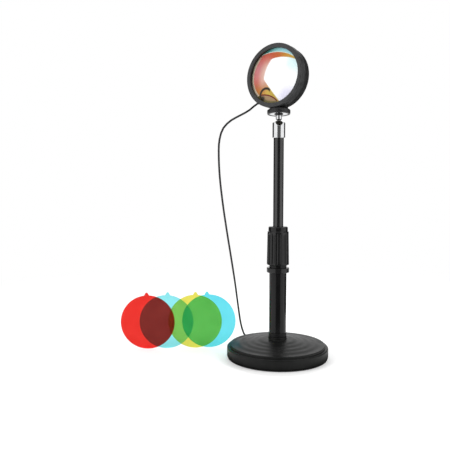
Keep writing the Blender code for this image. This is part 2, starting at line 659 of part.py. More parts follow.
# Ball socket: a chrome sleeve crimped over the ball, with a notch in the front of its rim
BALL_SEAT_RADIUS = BALL_RADIUS + BALL_CLEARANCE
COLLAR_TOP = SOCKET_LOW + SOCKET_COLLAR
RIM_ANGLE = math.asin(SOCKET_RIM / BALL_SEAT_RADIUS)
socket_outline = [(COLLET_BORE, SOCKET_LOW), (SOCKET_RADIUS - SOCKET_EDGE, SOCKET_LOW),
                  (SOCKET_RADIUS, SOCKET_LOW + SOCKET_EDGE),
                  (SOCKET_RADIUS, BALL_HEIGHT + SOCKET_RIM - SOCKET_EDGE),
                  (SOCKET_RADIUS - SOCKET_EDGE, BALL_HEIGHT + SOCKET_RIM)]
socket_outline += reversed(arc_outline(BALL_SEAT_RADIUS, BALL_HEIGHT, 0, RIM_ANGLE, CORNER_STEPS))
socket_outline += [(SOCKET_BORE, BALL_HEIGHT - SOCKET_EDGE), (SOCKET_BORE, COLLAR_TOP),
                   (COLLET_BORE, COLLAR_TOP)]
ball_socket = turned("ball_socket", socket_outline, MID_TURN)
notch_floor = BALL_HEIGHT + SOCKET_RIM - NOTCH_DEPTH + NOTCH_HALF_WIDTH
notch_top = BALL_HEIGHT + SOCKET_RIM + OVERRUN
notch_points = [(NOTCH_HALF_WIDTH, notch_top), (-NOTCH_HALF_WIDTH, notch_top)]
for step in range(BALL_STEPS + 1):
    angle = math.pi + math.pi * step / BALL_STEPS
    notch_points.append((NOTCH_HALF_WIDTH * math.cos(angle),
                         notch_floor + NOTCH_HALF_WIDTH * math.sin(angle)))
notch = prism("socket_notch", notch_points, 0, SOCKET_RADIUS + OVERRUN)
notch.rotation_euler = (math.pi / 2, 0, 0)
bright_chrome = finish("bright_chrome", BRIGHT_CHROME, 0.12, 1.0)
place(shaped_by(ball_socket, notch, "DIFFERENCE"), bright_chrome, mast_axis)


# Ball cup: the nylon seat that turns with the ball inside the sleeve
cup_rim_angle = math.asin(-CUP_RIM / BALL_SEAT_RADIUS)
cup_eye_angle = -math.acos(CUP_EYE / BALL_SEAT_RADIUS)
cup_outline = [(CUP_EYE, CUP_LOW), (PLUG_RIM_RADIUS, CUP_LOW), (PLUG_RIM_RADIUS, BALL_HEIGHT - CUP_RIM)]
cup_outline += arc_outline(BALL_SEAT_RADIUS, BALL_HEIGHT, cup_rim_angle, cup_eye_angle, CORNER_STEPS)
ball_cup = place(turned("ball_cup", cup_outline, MID_TURN), finish("cup_nylon", NYLON_WHITE, 0.45), mast_axis)


# Ball stem: ball, narrow waist, neck and threaded stud in one piece, on the stem's own axis
waist_angle = math.acos(WAIST_RADIUS / BALL_RADIUS)
stem_outline = [(0, -BALL_RADIUS)]
stem_outline += arc_outline(BALL_RADIUS, 0, -math.pi / 2, waist_angle, BALL_STEPS)[1:]
stem_outline += [(WAIST_RADIUS, NECK_LOW - NECK_ROUND), (NECK_RADIUS - NECK_ROUND, NECK_LOW),
                 (NECK_RADIUS, NECK_LOW + NECK_ROUND), (NECK_RADIUS, NECK_HIGH), (STUD_RADIUS, NECK_HIGH),
                 (STUD_RADIUS, STUD_END), (0, STUD_END)]
stem_chrome = finish("stem_chrome", BRIGHT_CHROME, 0.12, 1.0)
ball_stem = place(turned("ball_stem", stem_outline, MID_TURN), stem_chrome, stem_axis)


# Disc nut and the bright washer under it
DISC_SIDE_TOP = DISC_NUT_LOW + DISC_NUT_SIDE
DISC_TOP = DISC_SIDE_TOP + DISC_NUT_CONE
disc_outline = [(STUD_RADIUS + SEAT_GAP, NECK_HIGH + SEAT_GAP), (DISC_NUT_HUB_RADIUS, NECK_HIGH + SEAT_GAP),
                (DISC_NUT_HUB_RADIUS, DISC_NUT_LOW), (DISC_NUT_RADIUS - DISC_NUT_EDGE, DISC_NUT_LOW),
                (DISC_NUT_RADIUS, DISC_NUT_LOW + DISC_NUT_EDGE), (DISC_NUT_RADIUS, DISC_SIDE_TOP),
                (DISC_NUT_TOP_RADIUS, DISC_TOP), (STUD_RADIUS + SEAT_GAP, DISC_TOP)]
disc_nut = turned("disc_nut", disc_outline, DISC_NUT_RIB_COUNT)
rib_grooves = flute_cutter(DISC_NUT_RIB_COUNT, DISC_NUT_RIB_RADIUS, DISC_NUT_RADIUS, DISC_NUT_RADIUS,
                           DISC_NUT_RIB_DEPTH, DISC_NUT_LOW - OVERRUN / 4, DISC_SIDE_TOP + OVERRUN / 4)
disc_ribs = as_object("disc_ribs", rib_grooves)
place(shaped_by(disc_nut, disc_ribs, "DIFFERENCE"), finish("nut_plastic", GRIP_BLACK, 0.4), stem_axis)

WASHER_SEAT = DISC_NUT_LOW - SEAT_GAP
WASHER_BORE = DISC_NUT_HUB_RADIUS + SEAT_GAP
WASHER_UNDER = WASHER_SEAT - NUT_WASHER_THICKNESS
nut_washer_outline = [(WASHER_BORE, WASHER_UNDER), (NUT_WASHER_RADIUS, WASHER_UNDER),
                      (NUT_WASHER_RADIUS, WASHER_SEAT), (WASHER_BORE, WASHER_SEAT)]
washer_steel = finish("washer_steel", ALLOY, 0.25, 1.0)
nut_washer = place(turned("nut_washer", nut_washer_outline, MID_TURN), washer_steel, stem_axis)


# Head casing: the drum behind the front ring, a ledge for the lens, a thin spigot, a flange for the
# back cover's screws, and the boss that stands on the disc nut
CASING_INNER = CASING_RADIUS - CASING_WALL
SPIGOT_INNER = LENS_RADIUS + SEAT_GAP
SPIGOT_OUTER = SPIGOT_INNER + SPIGOT_WALL
LEDGE_BACK = CASING_LEDGE_FRONT - CASING_LEDGE_THICKNESS
FLANGE_INNER = SCREW_CIRCLE - SCREW_POST_RADIUS
FLANGE_FRONT = -CASING_BACK + CASING_WALL
casing_outline = [(CASING_LEDGE_RADIUS, CASING_LEDGE_FRONT), (SPIGOT_INNER, CASING_LEDGE_FRONT),
                  (SPIGOT_INNER, SPIGOT_FRONT), (SPIGOT_OUTER, SPIGOT_FRONT), (SPIGOT_OUTER, SEAM),
                  (CASING_RADIUS, SEAM), (CASING_RADIUS, -CASING_BACK + CASING_EDGE),
                  (CASING_RADIUS - CASING_EDGE, -CASING_BACK), (FLANGE_INNER, -CASING_BACK),
                  (FLANGE_INNER, FLANGE_FRONT), (CASING_INNER, FLANGE_FRONT),
                  (CASING_INNER, LEDGE_BACK - CASING_LEDGE_THICKNESS), (CASING_LEDGE_RADIUS, LEDGE_BACK)]
head_casing = turned("head_casing", casing_outline, BIG_TURN)


def stem_rod(name, outline, foot, end):
    """A straight piece along the stem's axis, between two heights above the ball's centre."""
    rod = prism(name, outline, 0, end - foot)
    rod.rotation_euler = (-math.pi / 2, 0, 0)
    rod.location = (0, foot - HEAD_HEIGHT, 0)
    return rod


def boss_points(radius, count):
    """A round boss flattened level with the front seam and the back edge."""
    return [(x, min(max(y, -SEAM), CASING_BACK - CASING_EDGE)) for x, y in circle_points(radius, count)]


shaped_by(head_casing, stem_rod("head_boss", boss_points(HEAD_BOSS_RADIUS, MID_TURN), BOSS_FOOT,
                                BOSS_FOOT + HEAD_BOSS_DEPTH), "UNION")
shaped_by(head_casing, stem_rod("insert_boss", boss_points(INSERT_BOSS_RADIUS, SMALL_TURN),
                                BOSS_FOOT + HEAD_BOSS_DEPTH / 2, INSERT_BOSS_END), "UNION")
stud_hole = circle_points(STUD_RADIUS + SEAT_GAP, SMALL_TURN)
shaped_by(head_casing, stem_rod("stud_hole", stud_hole, BOSS_FOOT - OVERRUN, INSERT_BOSS_END + OVERRUN),
          "DIFFERENCE")
insert_hole = circle_points(INSERT_RADIUS + SEAT_GAP, SMALL_TURN)
shaped_by(head_casing, stem_rod("insert_hole", insert_hole, INSERT_LOW - SEAT_GAP, INSERT_BOSS_END + OVERRUN),
          "DIFFERENCE")


def screw_bearing(screw):
    """Where each back screw stands round the head, one of them at the top."""
    return math.pi / 2 + FULL_TURN * screw / SCREW_COUNT


def screw_place(screw):
    """The (x, y) centre of a back screw."""
    return SCREW_CIRCLE * math.cos(screw_bearing(screw)), SCREW_CIRCLE * math.sin(screw_bearing(screw))


for screw in range(SCREW_COUNT):
    hole_points = circle_points(SCREW_HOLE_RADIUS, SMALL_TURN, screw_place(screw))
    thread_hole = prism("thread_hole_%d" % screw, hole_points, -CASING_BACK - OVERRUN, FLANGE_FRONT + OVERRUN)
    shaped_by(head_casing, thread_hole, "DIFFERENCE")
place(head_casing, finish("head_plastic", HEAD_BLACK, 0.5), head_axis)


# Brass insert that runs on the stud
insert_outline = [(STUD_RADIUS + SEAT_GAP, 0), (INSERT_RADIUS, 0), (INSERT_RADIUS, INSERT_LENGTH),
                  (STUD_RADIUS + SEAT_GAP, INSERT_LENGTH)]
insert_brass = finish("insert_brass", BRASS_TONE, 0.35, 1.0)
boss_insert = place(turned("boss_insert", insert_outline, SMALL_TURN), insert_brass, head_axis)
boss_insert.rotation_euler = (-math.pi / 2, 0, 0)
boss_insert.location = (0, INSERT_LOW - HEAD_HEIGHT, 0)


# Gasket, lens and retainer, in a stack on the casing's ledge
GASKET_BACK = CASING_LEDGE_FRONT + SEAT_GAP
GASKET_FRONT = GASKET_BACK + GASKET_THICKNESS
gasket_inner = LENS_RADIUS - LENS_RIM
gasket_outline = [(gasket_inner, GASKET_BACK), (LENS_RADIUS, GASKET_BACK), (LENS_RADIUS, GASKET_FRONT),
                  (gasket_inner, GASKET_FRONT)]
gasket_rubber = finish("gasket_rubber", RUBBER_BLACK, 0.8)
lens_gasket = place(turned("lens_gasket", gasket_outline, BIG_TURN), gasket_rubber, head_axis)


def cap_outline(radius, foot, rise, count):
    """Points from a lens's rim over its dome to its crown."""
    ball = (radius * radius + rise * rise) / (2 * rise)
    points = []
    for step in range(count + 1):
        reach = radius * (1 - step / count)
        points.append((reach, foot + rise - ball + math.sqrt(ball * ball - reach * reach)))
    return points


LENS_BACK = GASKET_FRONT + SEAT_GAP
LENS_RIM_FRONT = LENS_BACK + LENS_EDGE
lens_outline = [(0, LENS_BACK), (LENS_RADIUS, LENS_BACK), (LENS_RADIUS, LENS_RIM_FRONT)]
lens_outline += cap_outline(LENS_RADIUS - LENS_RIM, LENS_RIM_FRONT, LENS_RISE, CAP_STEPS)
coated_glass = finish("coated_glass", GLASS_TINT, 0.03, 0.0, 0.45)
lens = place(turned("lens", lens_outline, BIG_TURN), coated_glass, head_axis)

LIP_BACK = HEAD_FRONT - BEZEL_LIP
RETAINER_BACK = LENS_RIM_FRONT + SEAT_GAP
RETAINER_FRONT = LIP_BACK - FILTER_POCKET - SEAT_GAP
retainer_outline = [(OPENING_RADIUS, RETAINER_BACK), (LENS_RADIUS, RETAINER_BACK),
                    (LENS_RADIUS, RETAINER_FRONT), (OPENING_RADIUS, RETAINER_FRONT)]
retainer_plastic = finish("retainer_plastic", GRIP_BLACK, 0.35)
lens_retainer = place(turned("lens_retainer", retainer_outline, BIG_TURN), retainer_plastic, head_axis)


# Front ring: screws over the spigot and holds a filter behind its lip
THREAD_RADIUS = SPIGOT_OUTER + SEAT_GAP
bezel_outline = [(OPENING_RADIUS, LIP_BACK), (OPENING_RADIUS, HEAD_FRONT - BEZEL_LIP_ROUND),
                 (OPENING_RADIUS + BEZEL_LIP_ROUND, HEAD_FRONT), (HEAD_RADIUS - BEZEL_LIP_ROUND, HEAD_FRONT),
                 (HEAD_RADIUS, HEAD_FRONT - BEZEL_LIP_ROUND), (HEAD_RADIUS, SEAM + SEAT_GAP),
                 (THREAD_RADIUS, SEAM + SEAT_GAP), (THREAD_RADIUS, SPIGOT_FRONT + SEAT_GAP),
                 (FILTER_POCKET_RADIUS, SPIGOT_FRONT + SEAT_GAP), (FILTER_POCKET_RADIUS, LIP_BACK)]
bezel_plastic = finish("bezel_plastic", HEAD_BLACK, 0.45)
front_bezel = place(turned("front_bezel", bezel_outline, BIG_TURN), bezel_plastic, head_axis)


# Heat sink with its fins, light source, condenser, film and the shield round them
SINK_BACK = SINK_FRONT - SINK_THICKNESS
heat_sink = prism("heat_sink", circle_points(SINK_RADIUS, BIG_TURN), SINK_BACK, SINK_FRONT)
for fin in range(SINK_FIN_COUNT):
    for side in (-1, 1):
        fin_middle = (side * (SINK_FIN_FIRST + SINK_FIN_PITCH * fin), 0)
        fin_points = box_points(SINK_FIN_THICKNESS, SINK_FIN_LENGTH, fin_middle)
        fin_tool = prism("sink_fin_%d_%d" % (fin, side > 0), fin_points, SINK_BACK - SINK_FIN_HEIGHT,
                         SINK_BACK + SINK_THICKNESS / 2)
        shaped_by(heat_sink, fin_tool, "UNION")
place(heat_sink, finish("sink_alloy", ALLOY, 0.4, 1.0), head_axis)

BOARD_BACK = SINK_FRONT + SEAT_GAP
BOARD_FRONT = BOARD_BACK + LED_BOARD_THICKNESS
CHIP_BACK = BOARD_FRONT + SEAT_GAP
CHIP_FRONT = CHIP_BACK + LED_CHIP_THICKNESS
led_board = prism("led_board", circle_points(LED_BOARD_RADIUS, MID_TURN), BOARD_BACK, BOARD_FRONT)
place(led_board, finish("board_white", BOARD_WHITE, 0.5), head_axis)
led_chip = prism("led_chip", circle_points(LED_CHIP_RADIUS, SMALL_TURN), CHIP_BACK, CHIP_FRONT)
place(led_chip, finish("chip_phosphor", CHIP_YELLOW, 0.4), head_axis)

CONDENSER_BACK = CHIP_FRONT + SEAT_GAP
CONDENSER_RIM = CONDENSER_BACK + CONDENSER_EDGE
condenser_outline = [(0, CONDENSER_BACK), (CONDENSER_RADIUS, CONDENSER_BACK)]
condenser_outline += cap_outline(CONDENSER_RADIUS, CONDENSER_RIM, CONDENSER_RISE, CAP_STEPS)
clear_glass = finish("clear_glass", GLASS_TINT, 0.03, 0.0, 0.4)
condenser_lens = place(turned("condenser_lens", condenser_outline, MID_TURN), clear_glass, head_axis)

FILM_BACK = CONDENSER_RIM + CONDENSER_RISE + SEAT_GAP
FILM_FRONT = FILM_BACK + FILM_THICKNESS
sunset_film = prism("sunset_film", circle_points(CONDENSER_RADIUS, MID_TURN), FILM_BACK, FILM_FRONT)
place(sunset_film, finish("orange_film", FILM_ORANGE, 0.2, 0.0, 0.7), head_axis)

SHIELD_INNER = CONDENSER_RADIUS + SEAT_GAP
SHIELD_OUTER = SHIELD_INNER + SHIELD_WALL
SHIELD_MOUTH_RADIUS = CASING_LEDGE_RADIUS - SEAT_GAP
shield_outline = [(SHIELD_INNER, BOARD_BACK), (SHIELD_OUTER, BOARD_BACK), (SHIELD_OUTER, SHIELD_BARREL_END),
                  (SHIELD_MOUTH_RADIUS, SHIELD_MOUTH), (SHIELD_MOUTH_RADIUS - SHIELD_WALL, SHIELD_MOUTH),
                  (SHIELD_INNER, SHIELD_BARREL_END + SHIELD_WALL / 2)]
shield_plastic = finish("shield_plastic", RUBBER_BLACK, 0.7)
light_shield = place(turned("light_shield", shield_outline, MID_TURN), shield_plastic, head_axis)


# Back cover: a hollow rounded cap on the casing, with a pocket for the heat sink, screw posts, vents,
# a hole for the push switch and one for the gland
COVER_RIM = -CASING_BACK - SEAT_GAP
COVER_BACK = COVER_RIM - COVER_DEPTH
COVER_INSIDE = COVER_BACK + COVER_WALL
SINK_SEAT = SINK_BACK - SEAT_GAP
POCKET_RADIUS = SINK_RADIUS + SEAT_GAP
cover_outer = [(0, COVER_BACK), (COVER_END_RADIUS, COVER_BACK), (COVER_NEAR_RADIUS, COVER_RIM - COVER_NEAR),
               (COVER_MID_RADIUS, COVER_RIM - COVER_MID), (COVER_SHOULDER_RADIUS, COVER_RIM - COVER_SHOULDER),
               (COVER_RADIUS, COVER_RIM), (0, COVER_RIM)]
WALL_SLANT = COVER_WALL / 2
cover_inner = [(0, COVER_INSIDE), (COVER_END_RADIUS - WALL_SLANT, COVER_INSIDE),
               (POCKET_RADIUS - COVER_POCKET, COVER_RIM - COVER_NEAR + WALL_SLANT),
               (POCKET_RADIUS - COVER_POCKET, SINK_SEAT), (POCKET_RADIUS, SINK_SEAT),
               (POCKET_RADIUS, SINK_SEAT + COVER_POCKET),
               (COVER_MID_RADIUS - COVER_WALL, COVER_RIM - COVER_MID + WALL_SLANT),
               (COVER_SHOULDER_RADIUS - COVER_WALL, COVER_RIM - COVER_SHOULDER + WALL_SLANT),
               (COVER_RADIUS - COVER_WALL, COVER_RIM), (COVER_RADIUS - COVER_WALL, COVER_RIM + OVERRUN),
               (0, COVER_RIM + OVERRUN)]
back_cover = turned("back_cover", cover_outer, BIG_TURN)
cover_hollow = turned("cover_hollow", cover_inner, BIG_TURN)
SCREW_SEAT = COVER_RIM - SCREW_SEAT_DEPTH
for screw in range(SCREW_COUNT):
    post_points = circle_points(SCREW_POST_RADIUS, SMALL_TURN, screw_place(screw))
    post = prism("screw_post_%d" % screw, post_points, COVER_BACK, COVER_RIM + OVERRUN * 2)
    shaped_by(cover_hollow, post, "DIFFERENCE")
shaped_by(back_cover, cover_hollow, "DIFFERENCE")
for screw in range(SCREW_COUNT):
    pocket_points = circle_points(SCREW_HEAD_RADIUS + SEAT_GAP, SMALL_TURN, screw_place(screw))
    head_pocket = prism("head_pocket_%d" % screw, pocket_points, COVER_BACK, SCREW_SEAT)
    shaped_by(back_cover, head_pocket, "DIFFERENCE")
    hole_points = circle_points(SCREW_HOLE_RADIUS, SMALL_TURN, screw_place(screw))
    screw_hole = prism("screw_hole_%d" % screw, hole_points, SCREW_SEAT - OVERRUN, COVER_RIM + OVERRUN)
    shaped_by(back_cover, screw_hole, "DIFFERENCE")
    for vent in range(VENT_GROUP):
        vent_points = box_points(VENT_LENGTH, VENT_WIDTH, (VENT_CIRCLE, 0))
        vent_tool = prism("vent_%d_%d" % (screw, vent), vent_points, COVER_BACK, COVER_RIM)
        half_way = screw_bearing(screw) + math.pi / SCREW_COUNT
        vent_tool.rotation_euler = (0, 0, half_way + VENT_PITCH * (vent - (VENT_GROUP - 1) / 2))
        shaped_by(back_cover, vent_tool, "DIFFERENCE")
button_points = circle_points(BUTTON_RADIUS + SEAT_GAP, MID_TURN, (0, BUTTON_UP))
gland_points = circle_points(GLAND_NECK_RADIUS + SEAT_GAP, SMALL_TURN, (0, -GLAND_DOWN))
for name, hole_points in (("button_hole", button_points), ("gland_hole", gland_points)):
    back_hole = prism(name, hole_points, COVER_BACK - OVERRUN, COVER_INSIDE + OVERRUN)
    shaped_by(back_cover, back_hole, "DIFFERENCE")
place(back_cover, finish("cover_plastic", HEAD_BLACK, 0.5), head_axis)


# Screws that hold the back cover to the casing
HEAD_SEAT = SCREW_SEAT - SEAT_GAP
cover_screw_outline = [(0, HEAD_SEAT - SCREW_HEAD_HEIGHT), (SCREW_HEAD_RADIUS, HEAD_SEAT - SCREW_HEAD_HEIGHT),
                       (SCREW_HEAD_RADIUS, HEAD_SEAT), (SCREW_RADIUS, HEAD_SEAT),
                       (SCREW_RADIUS, HEAD_SEAT + SCREW_LENGTH), (0, HEAD_SEAT + SCREW_LENGTH)]
for screw in range(SCREW_COUNT):
    cover_screw = turned("cover_screw_%d" % (screw + 1), cover_screw_outline, SMALL_TURN)
    place(cover_screw, zinc_steel, head_axis)
    cover_screw.location = (*screw_place(screw), 0)


# Push switch: its body behind the heat sink, and the button that travels in the back wall
SWITCH_FRONT = SINK_BACK - SEAT_GAP
switch_points = box_points(SWITCH_WIDTH, SWITCH_WIDTH, (0, BUTTON_UP))
switch_body = prism("switch_body", switch_points, SWITCH_FRONT - SWITCH_DEPTH, SWITCH_FRONT)
place(switch_body, finish("switch_plastic", RUBBER_BLACK, 0.5), head_axis)
button_axis = empty("button_axis", head_axis, (0, BUTTON_UP, 0))
FLANGE_SEAT = COVER_INSIDE + SEAT_GAP
BUTTON_END = COVER_BACK - BUTTON_PROUD
FLANGE_END = FLANGE_SEAT + BUTTON_FLANGE
PLUNGER_END = FLANGE_END + BUTTON_PLUNGER
button_outline = [(0, BUTTON_END), (BUTTON_RADIUS - BUTTON_ROUND, BUTTON_END),
                  (BUTTON_RADIUS, BUTTON_END + BUTTON_ROUND), (BUTTON_RADIUS, FLANGE_SEAT),
                  (BUTTON_FLANGE_RADIUS, FLANGE_SEAT), (BUTTON_FLANGE_RADIUS, FLANGE_END),
                  (BUTTON_PLUNGER_RADIUS, FLANGE_END), (BUTTON_PLUNGER_RADIUS, PLUNGER_END), (0, PLUNGER_END)]
button_plastic = finish("button_plastic", GRIP_BLACK, 0.35)
switch_button = place(turned("switch_button", button_outline, MID_TURN), button_plastic, button_axis)


# Gland: a soft sleeve through the back wall, tapering along the lead
gland_axis = empty("gland_axis", head_axis, (0, -GLAND_DOWN, 0))
GLAND_OUTSIDE = COVER_BACK - SEAT_GAP
GLAND_END = GLAND_OUTSIDE - GLAND_LENGTH
gland_outline = [(0, GLAND_END), (GLAND_TIP_RADIUS, GLAND_END), (GLAND_FOOT_RADIUS, GLAND_OUTSIDE),
                 (GLAND_NECK_RADIUS, GLAND_OUTSIDE), (GLAND_NECK_RADIUS, FLANGE_SEAT),
                 (GLAND_FLANGE_RADIUS, FLANGE_SEAT), (GLAND_FLANGE_RADIUS, FLANGE_SEAT + GLAND_FLANGE),
                 (0, FLANGE_SEAT + GLAND_FLANGE)]
gland_rubber = finish("gland_rubber", RUBBER_BLACK, 0.6)
cord_gland = place(turned("cord_gland", gland_outline, SMALL_TURN), gland_rubber, gland_axis)


# Lead: the coil beside the base comes first, because the hanging lead ends on it
cord_rubber = finish("cord_rubber", RUBBER_BLACK, 0.55)
COIL_CENTRE_RADIUS = BASE_RADIUS + COIL_CLEARANCE + CORD_RADIUS + COIL_OUTER_RADIUS
COIL_MIDDLE = Vector((math.cos(COIL_BEARING), math.sin(COIL_BEARING), 0)) * COIL_CENTRE_RADIUS
COIL_LOW = COIL_LIFT + CORD_RADIUS
COIL_TURNS = COIL_LAYER_TURNS * 2 + COIL_CLIMB_TURNS


def coil_point(turn):
    """A point on the coil: in along the floor, up a layer where it turns back, and out on top."""
    inward = min(turn, COIL_TURNS - turn)
    radius = COIL_OUTER_RADIUS - COIL_PITCH * inward
    climb = min(max((turn - COIL_LAYER_TURNS) / COIL_CLIMB_TURNS, 0), 1)
    bearing = FULL_TURN * turn - math.pi / 2
    place_on_floor = Vector((radius * math.cos(bearing), radius * math.sin(bearing), 0))
    return COIL_MIDDLE + place_on_floor + Vector((0, 0, COIL_LOW + COIL_PITCH * climb))


coil_count = round(COIL_TURNS * COIL_STEPS)
coil_route = [coil_point(COIL_TURNS * step / coil_count) for step in range(coil_count + 1)]


def tube(name, points, radius, arc_steps, material):
    """A round tube with closed ends along a run of points."""
    line = bpy.data.curves.new(name, "CURVE")
    line.dimensions = "3D"
    line.bevel_depth = radius
    line.bevel_resolution = arc_steps
    line.use_fill_caps = True
    run = line.splines.new("POLY")
    run.points.add(len(points) - 1)
    for knot, point in zip(run.points, points):
        knot.co = (*point, 1)
    piece = bpy.data.objects.new(name, line)
    bpy.context.scene.collection.objects.link(piece)
    return place(piece, material, None)


straight_in = Vector((-2 * CORD_RADIUS, 0, 0))
coil_in = coil_route[0] + straight_in
coil_out = coil_route[-1] - straight_in
coil_points = [coil_in] + coil_route + [coil_out]
tube("cord_coil", coil_points, CORD_RADIUS, COIL_ARC_STEPS, cord_rubber)


def least_gap(points, radius, spare):
    """The smallest space between one stretch of a tube and another, left out near each point itself."""
    nearest = None
    for here, point in enumerate(points):
        for there in range(here + spare, len(points)):
            space = (points[there] - point).length - 2 * radius
            if nearest is None or space < nearest:
                nearest = space
    return nearest


coil_gap = least_gap(coil_points, CORD_RADIUS, COIL_STEPS // 2)
print("Least gap of the coil to itself, mm:", round(coil_gap * 1000, 2))


# Tie round one side of the coil
def coil_reach(bearing, width):
    """The least and greatest radius of the coil's turns under a tie."""
    radii = []
    for point in coil_route:
        away = point - COIL_MIDDLE
        turn_away = math.atan2(away.y, away.x) - bearing
        side = away.xy.length * math.sin(turn_away)
        if math.cos(turn_away) > 0 and abs(side) < width:
            radii.append(away.xy.length)
    return min(radii), max(radii)


tie_least, tie_most = coil_reach(TIE_BEARING, TIE_WIDTH)
TIE_INNER = tie_least - CORD_RADIUS - TIE_CLEARANCE
TIE_OUTER = tie_most + CORD_RADIUS + TIE_CLEARANCE
TIE_LOW = COIL_LIFT - TIE_CLEARANCE
TIE_HIGH = COIL_LOW + COIL_PITCH + CORD_RADIUS + TIE_CLEARANCE
coil_axis = empty("coil_axis", None, COIL_MIDDLE, (0, 0, TIE_BEARING))
tie_middle = ((TIE_INNER + TIE_OUTER) / 2, 0)
tie_length = TIE_OUTER - TIE_INNER
tie_points = box_points(tie_length + TIE_THICKNESS * 2, TIE_WIDTH, tie_middle)
coil_tie = prism("coil_tie", tie_points, TIE_LOW - TIE_THICKNESS, TIE_HIGH + TIE_THICKNESS)
tie_space = prism("tie_space", box_points(tie_length, TIE_WIDTH + OVERRUN * 2, tie_middle), TIE_LOW, TIE_HIGH)
place(shaped_by(coil_tie, tie_space, "DIFFERENCE"), finish("tie_plastic", GRIP_BLACK, 0.5), coil_axis)


# Plug: strain relief and body in one piece, the metal shell in its nose, and the tongue in the shell
PLUG_LENGTH = PLUG_RELIEF_LENGTH + PLUG_BODY_LENGTH + PLUG_SHELL_LENGTH
PLUG_RADIUS = BASE_RADIUS + PLUG_CLEARANCE + PLUG_BODY_WIDTH / 2
PLUG_MIDDLE = Vector((math.cos(PLUG_BEARING), math.sin(PLUG_BEARING), 0)) * PLUG_RADIUS
PLUG_MIDDLE.z = PLUG_BODY_HEIGHT / 2
plug_axis = empty("plug_axis", None, PLUG_MIDDLE, (0, math.pi / 2, PLUG_BEARING - math.pi / 2))
BODY_START = PLUG_RELIEF_LENGTH - PLUG_LENGTH / 2
BODY_END = BODY_START + PLUG_BODY_LENGTH
RELIEF_START = -PLUG_LENGTH / 2


def plug_section(height, width, edge):
    """A flat section across the plug with its corners cut, heights first because the plug lies down."""
    half_height = height / 2
    half_width = width / 2
    flat = half_height - edge
    side = half_width - edge
    return [(-flat, -half_width), (flat, -half_width), (half_height, -side), (half_height, side),
            (flat, half_width), (-flat, half_width), (-half_height, side), (-half_height, -side)]


body_points = plug_section(PLUG_BODY_HEIGHT, PLUG_BODY_WIDTH, PLUG_BODY_ROUND)
plug_body = prism("plug_body", body_points, BODY_START, BODY_END)
relief = prism("plug_relief", circle_points(PLUG_RELIEF_RADIUS, SMALL_TURN), RELIEF_START,
               BODY_START + PLUG_BODY_LENGTH / 2)
shaped_by(plug_body, relief, "UNION")
SHELL_SINK = PLUG_BODY_LENGTH / 4
SHELL_START = BODY_END - SHELL_SINK
pocket_points = box_points(PLUG_SHELL_HEIGHT + SEAT_GAP * 2, PLUG_SHELL_WIDTH + SEAT_GAP * 2)
nose_pocket = prism("nose_pocket", pocket_points, SHELL_START - SEAT_GAP, BODY_END + OVERRUN)
shaped_by(plug_body, nose_pocket, "DIFFERENCE")
place(plug_body, finish("plug_rubber", RUBBER_BLACK, 0.5), plug_axis)

SHELL_END = BODY_END + PLUG_SHELL_LENGTH
plug_shell = prism("plug_shell", box_points(PLUG_SHELL_HEIGHT, PLUG_SHELL_WIDTH), SHELL_START, SHELL_END)
space_points = box_points(PLUG_SHELL_HEIGHT - PLUG_SHELL_WALL * 2, PLUG_SHELL_WIDTH - PLUG_SHELL_WALL * 2)
shell_space = prism("shell_space", space_points, SHELL_START + PLUG_SHELL_WALL, SHELL_END + OVERRUN)
shell_steel = finish("shell_steel", PLAIN_STEEL, 0.3, 1.0)
place(shaped_by(plug_shell, shell_space, "DIFFERENCE"), shell_steel, plug_axis)

TONGUE_WIDTH = PLUG_SHELL_WIDTH - (PLUG_SHELL_WALL + SEAT_GAP) * 2
tongue_shift = PLUG_SHELL_HEIGHT / 2 - PLUG_SHELL_WALL - SEAT_GAP - PLUG_TONGUE_THICKNESS / 2
plug_tongue = prism("plug_tongue", box_points(PLUG_TONGUE_THICKNESS, TONGUE_WIDTH, (-tongue_shift, 0)),
                    SHELL_START + PLUG_SHELL_WALL + SEAT_GAP, SHELL_END - PLUG_SHELL_WALL)
place(plug_tongue, finish("tongue_plastic", NYLON_WHITE, 0.5), plug_axis)


# Lead: the hanging run from the gland over the left of the head and down behind the mast to the coil,
# cut where the head, the stem, the mast and the base each carry their own stretch
HANGING_ROUTE = [
    (0.0289, 0.0447, 0.3429), (0.0315, 0.0515, 0.3423), (0.0304, 0.0589, 0.3415), (0.0256, 0.0647, 0.3406),
    (0.0184, 0.0671, 0.3396), (0.0110, 0.0655, 0.3386), (0.0040, 0.0603, 0.3373), (-0.0050, 0.0525, 0.3350),
    (-0.0150, 0.0436, 0.3318), (-0.0262, 0.0332, 0.3272), (-0.0366, 0.0262, 0.3183), (-0.0480, 0.0205, 0.3115),
    (-0.0600, 0.0160, 0.3046), (-0.0700, 0.0150, 0.2945), (-0.0748, 0.0180, 0.2800), (-0.0758, 0.0230, 0.2620),
    (-0.0745, 0.0310, 0.2320), (-0.0705, 0.0410, 0.1960), (-0.0650, 0.0520, 0.1580), (-0.0590, 0.0620, 0.1200),
    (-0.0535, 0.0700, 0.0840), (-0.0490, 0.0755, 0.0500), (-0.0450, 0.0788, 0.0240), (-0.0395, 0.0793, 0.0082),
    (-0.0310, 0.0757, 0.0022), (-0.0210, 0.0710, 0.0015), (-0.0110, 0.0678, 0.0020),
]
STRETCH_ENDS = ((-0.0600, 0.0160, 0.3046), (-0.0756, 0.0210, 0.2700), (-0.0710, 0.0400, 0.2000))
STRETCH_NAMES = ("cord_head", "cord_stem", "cord_mast", "cord_drop")
TAIL_ROUTE = [(0.0095, 0.0682, 0.0049), (0.0157, 0.0706, 0.0043), (0.0201, 0.0721, 0.0038),
              (0.0248, 0.0723, 0.0036), (0.0293, 0.0709, 0.0035)]


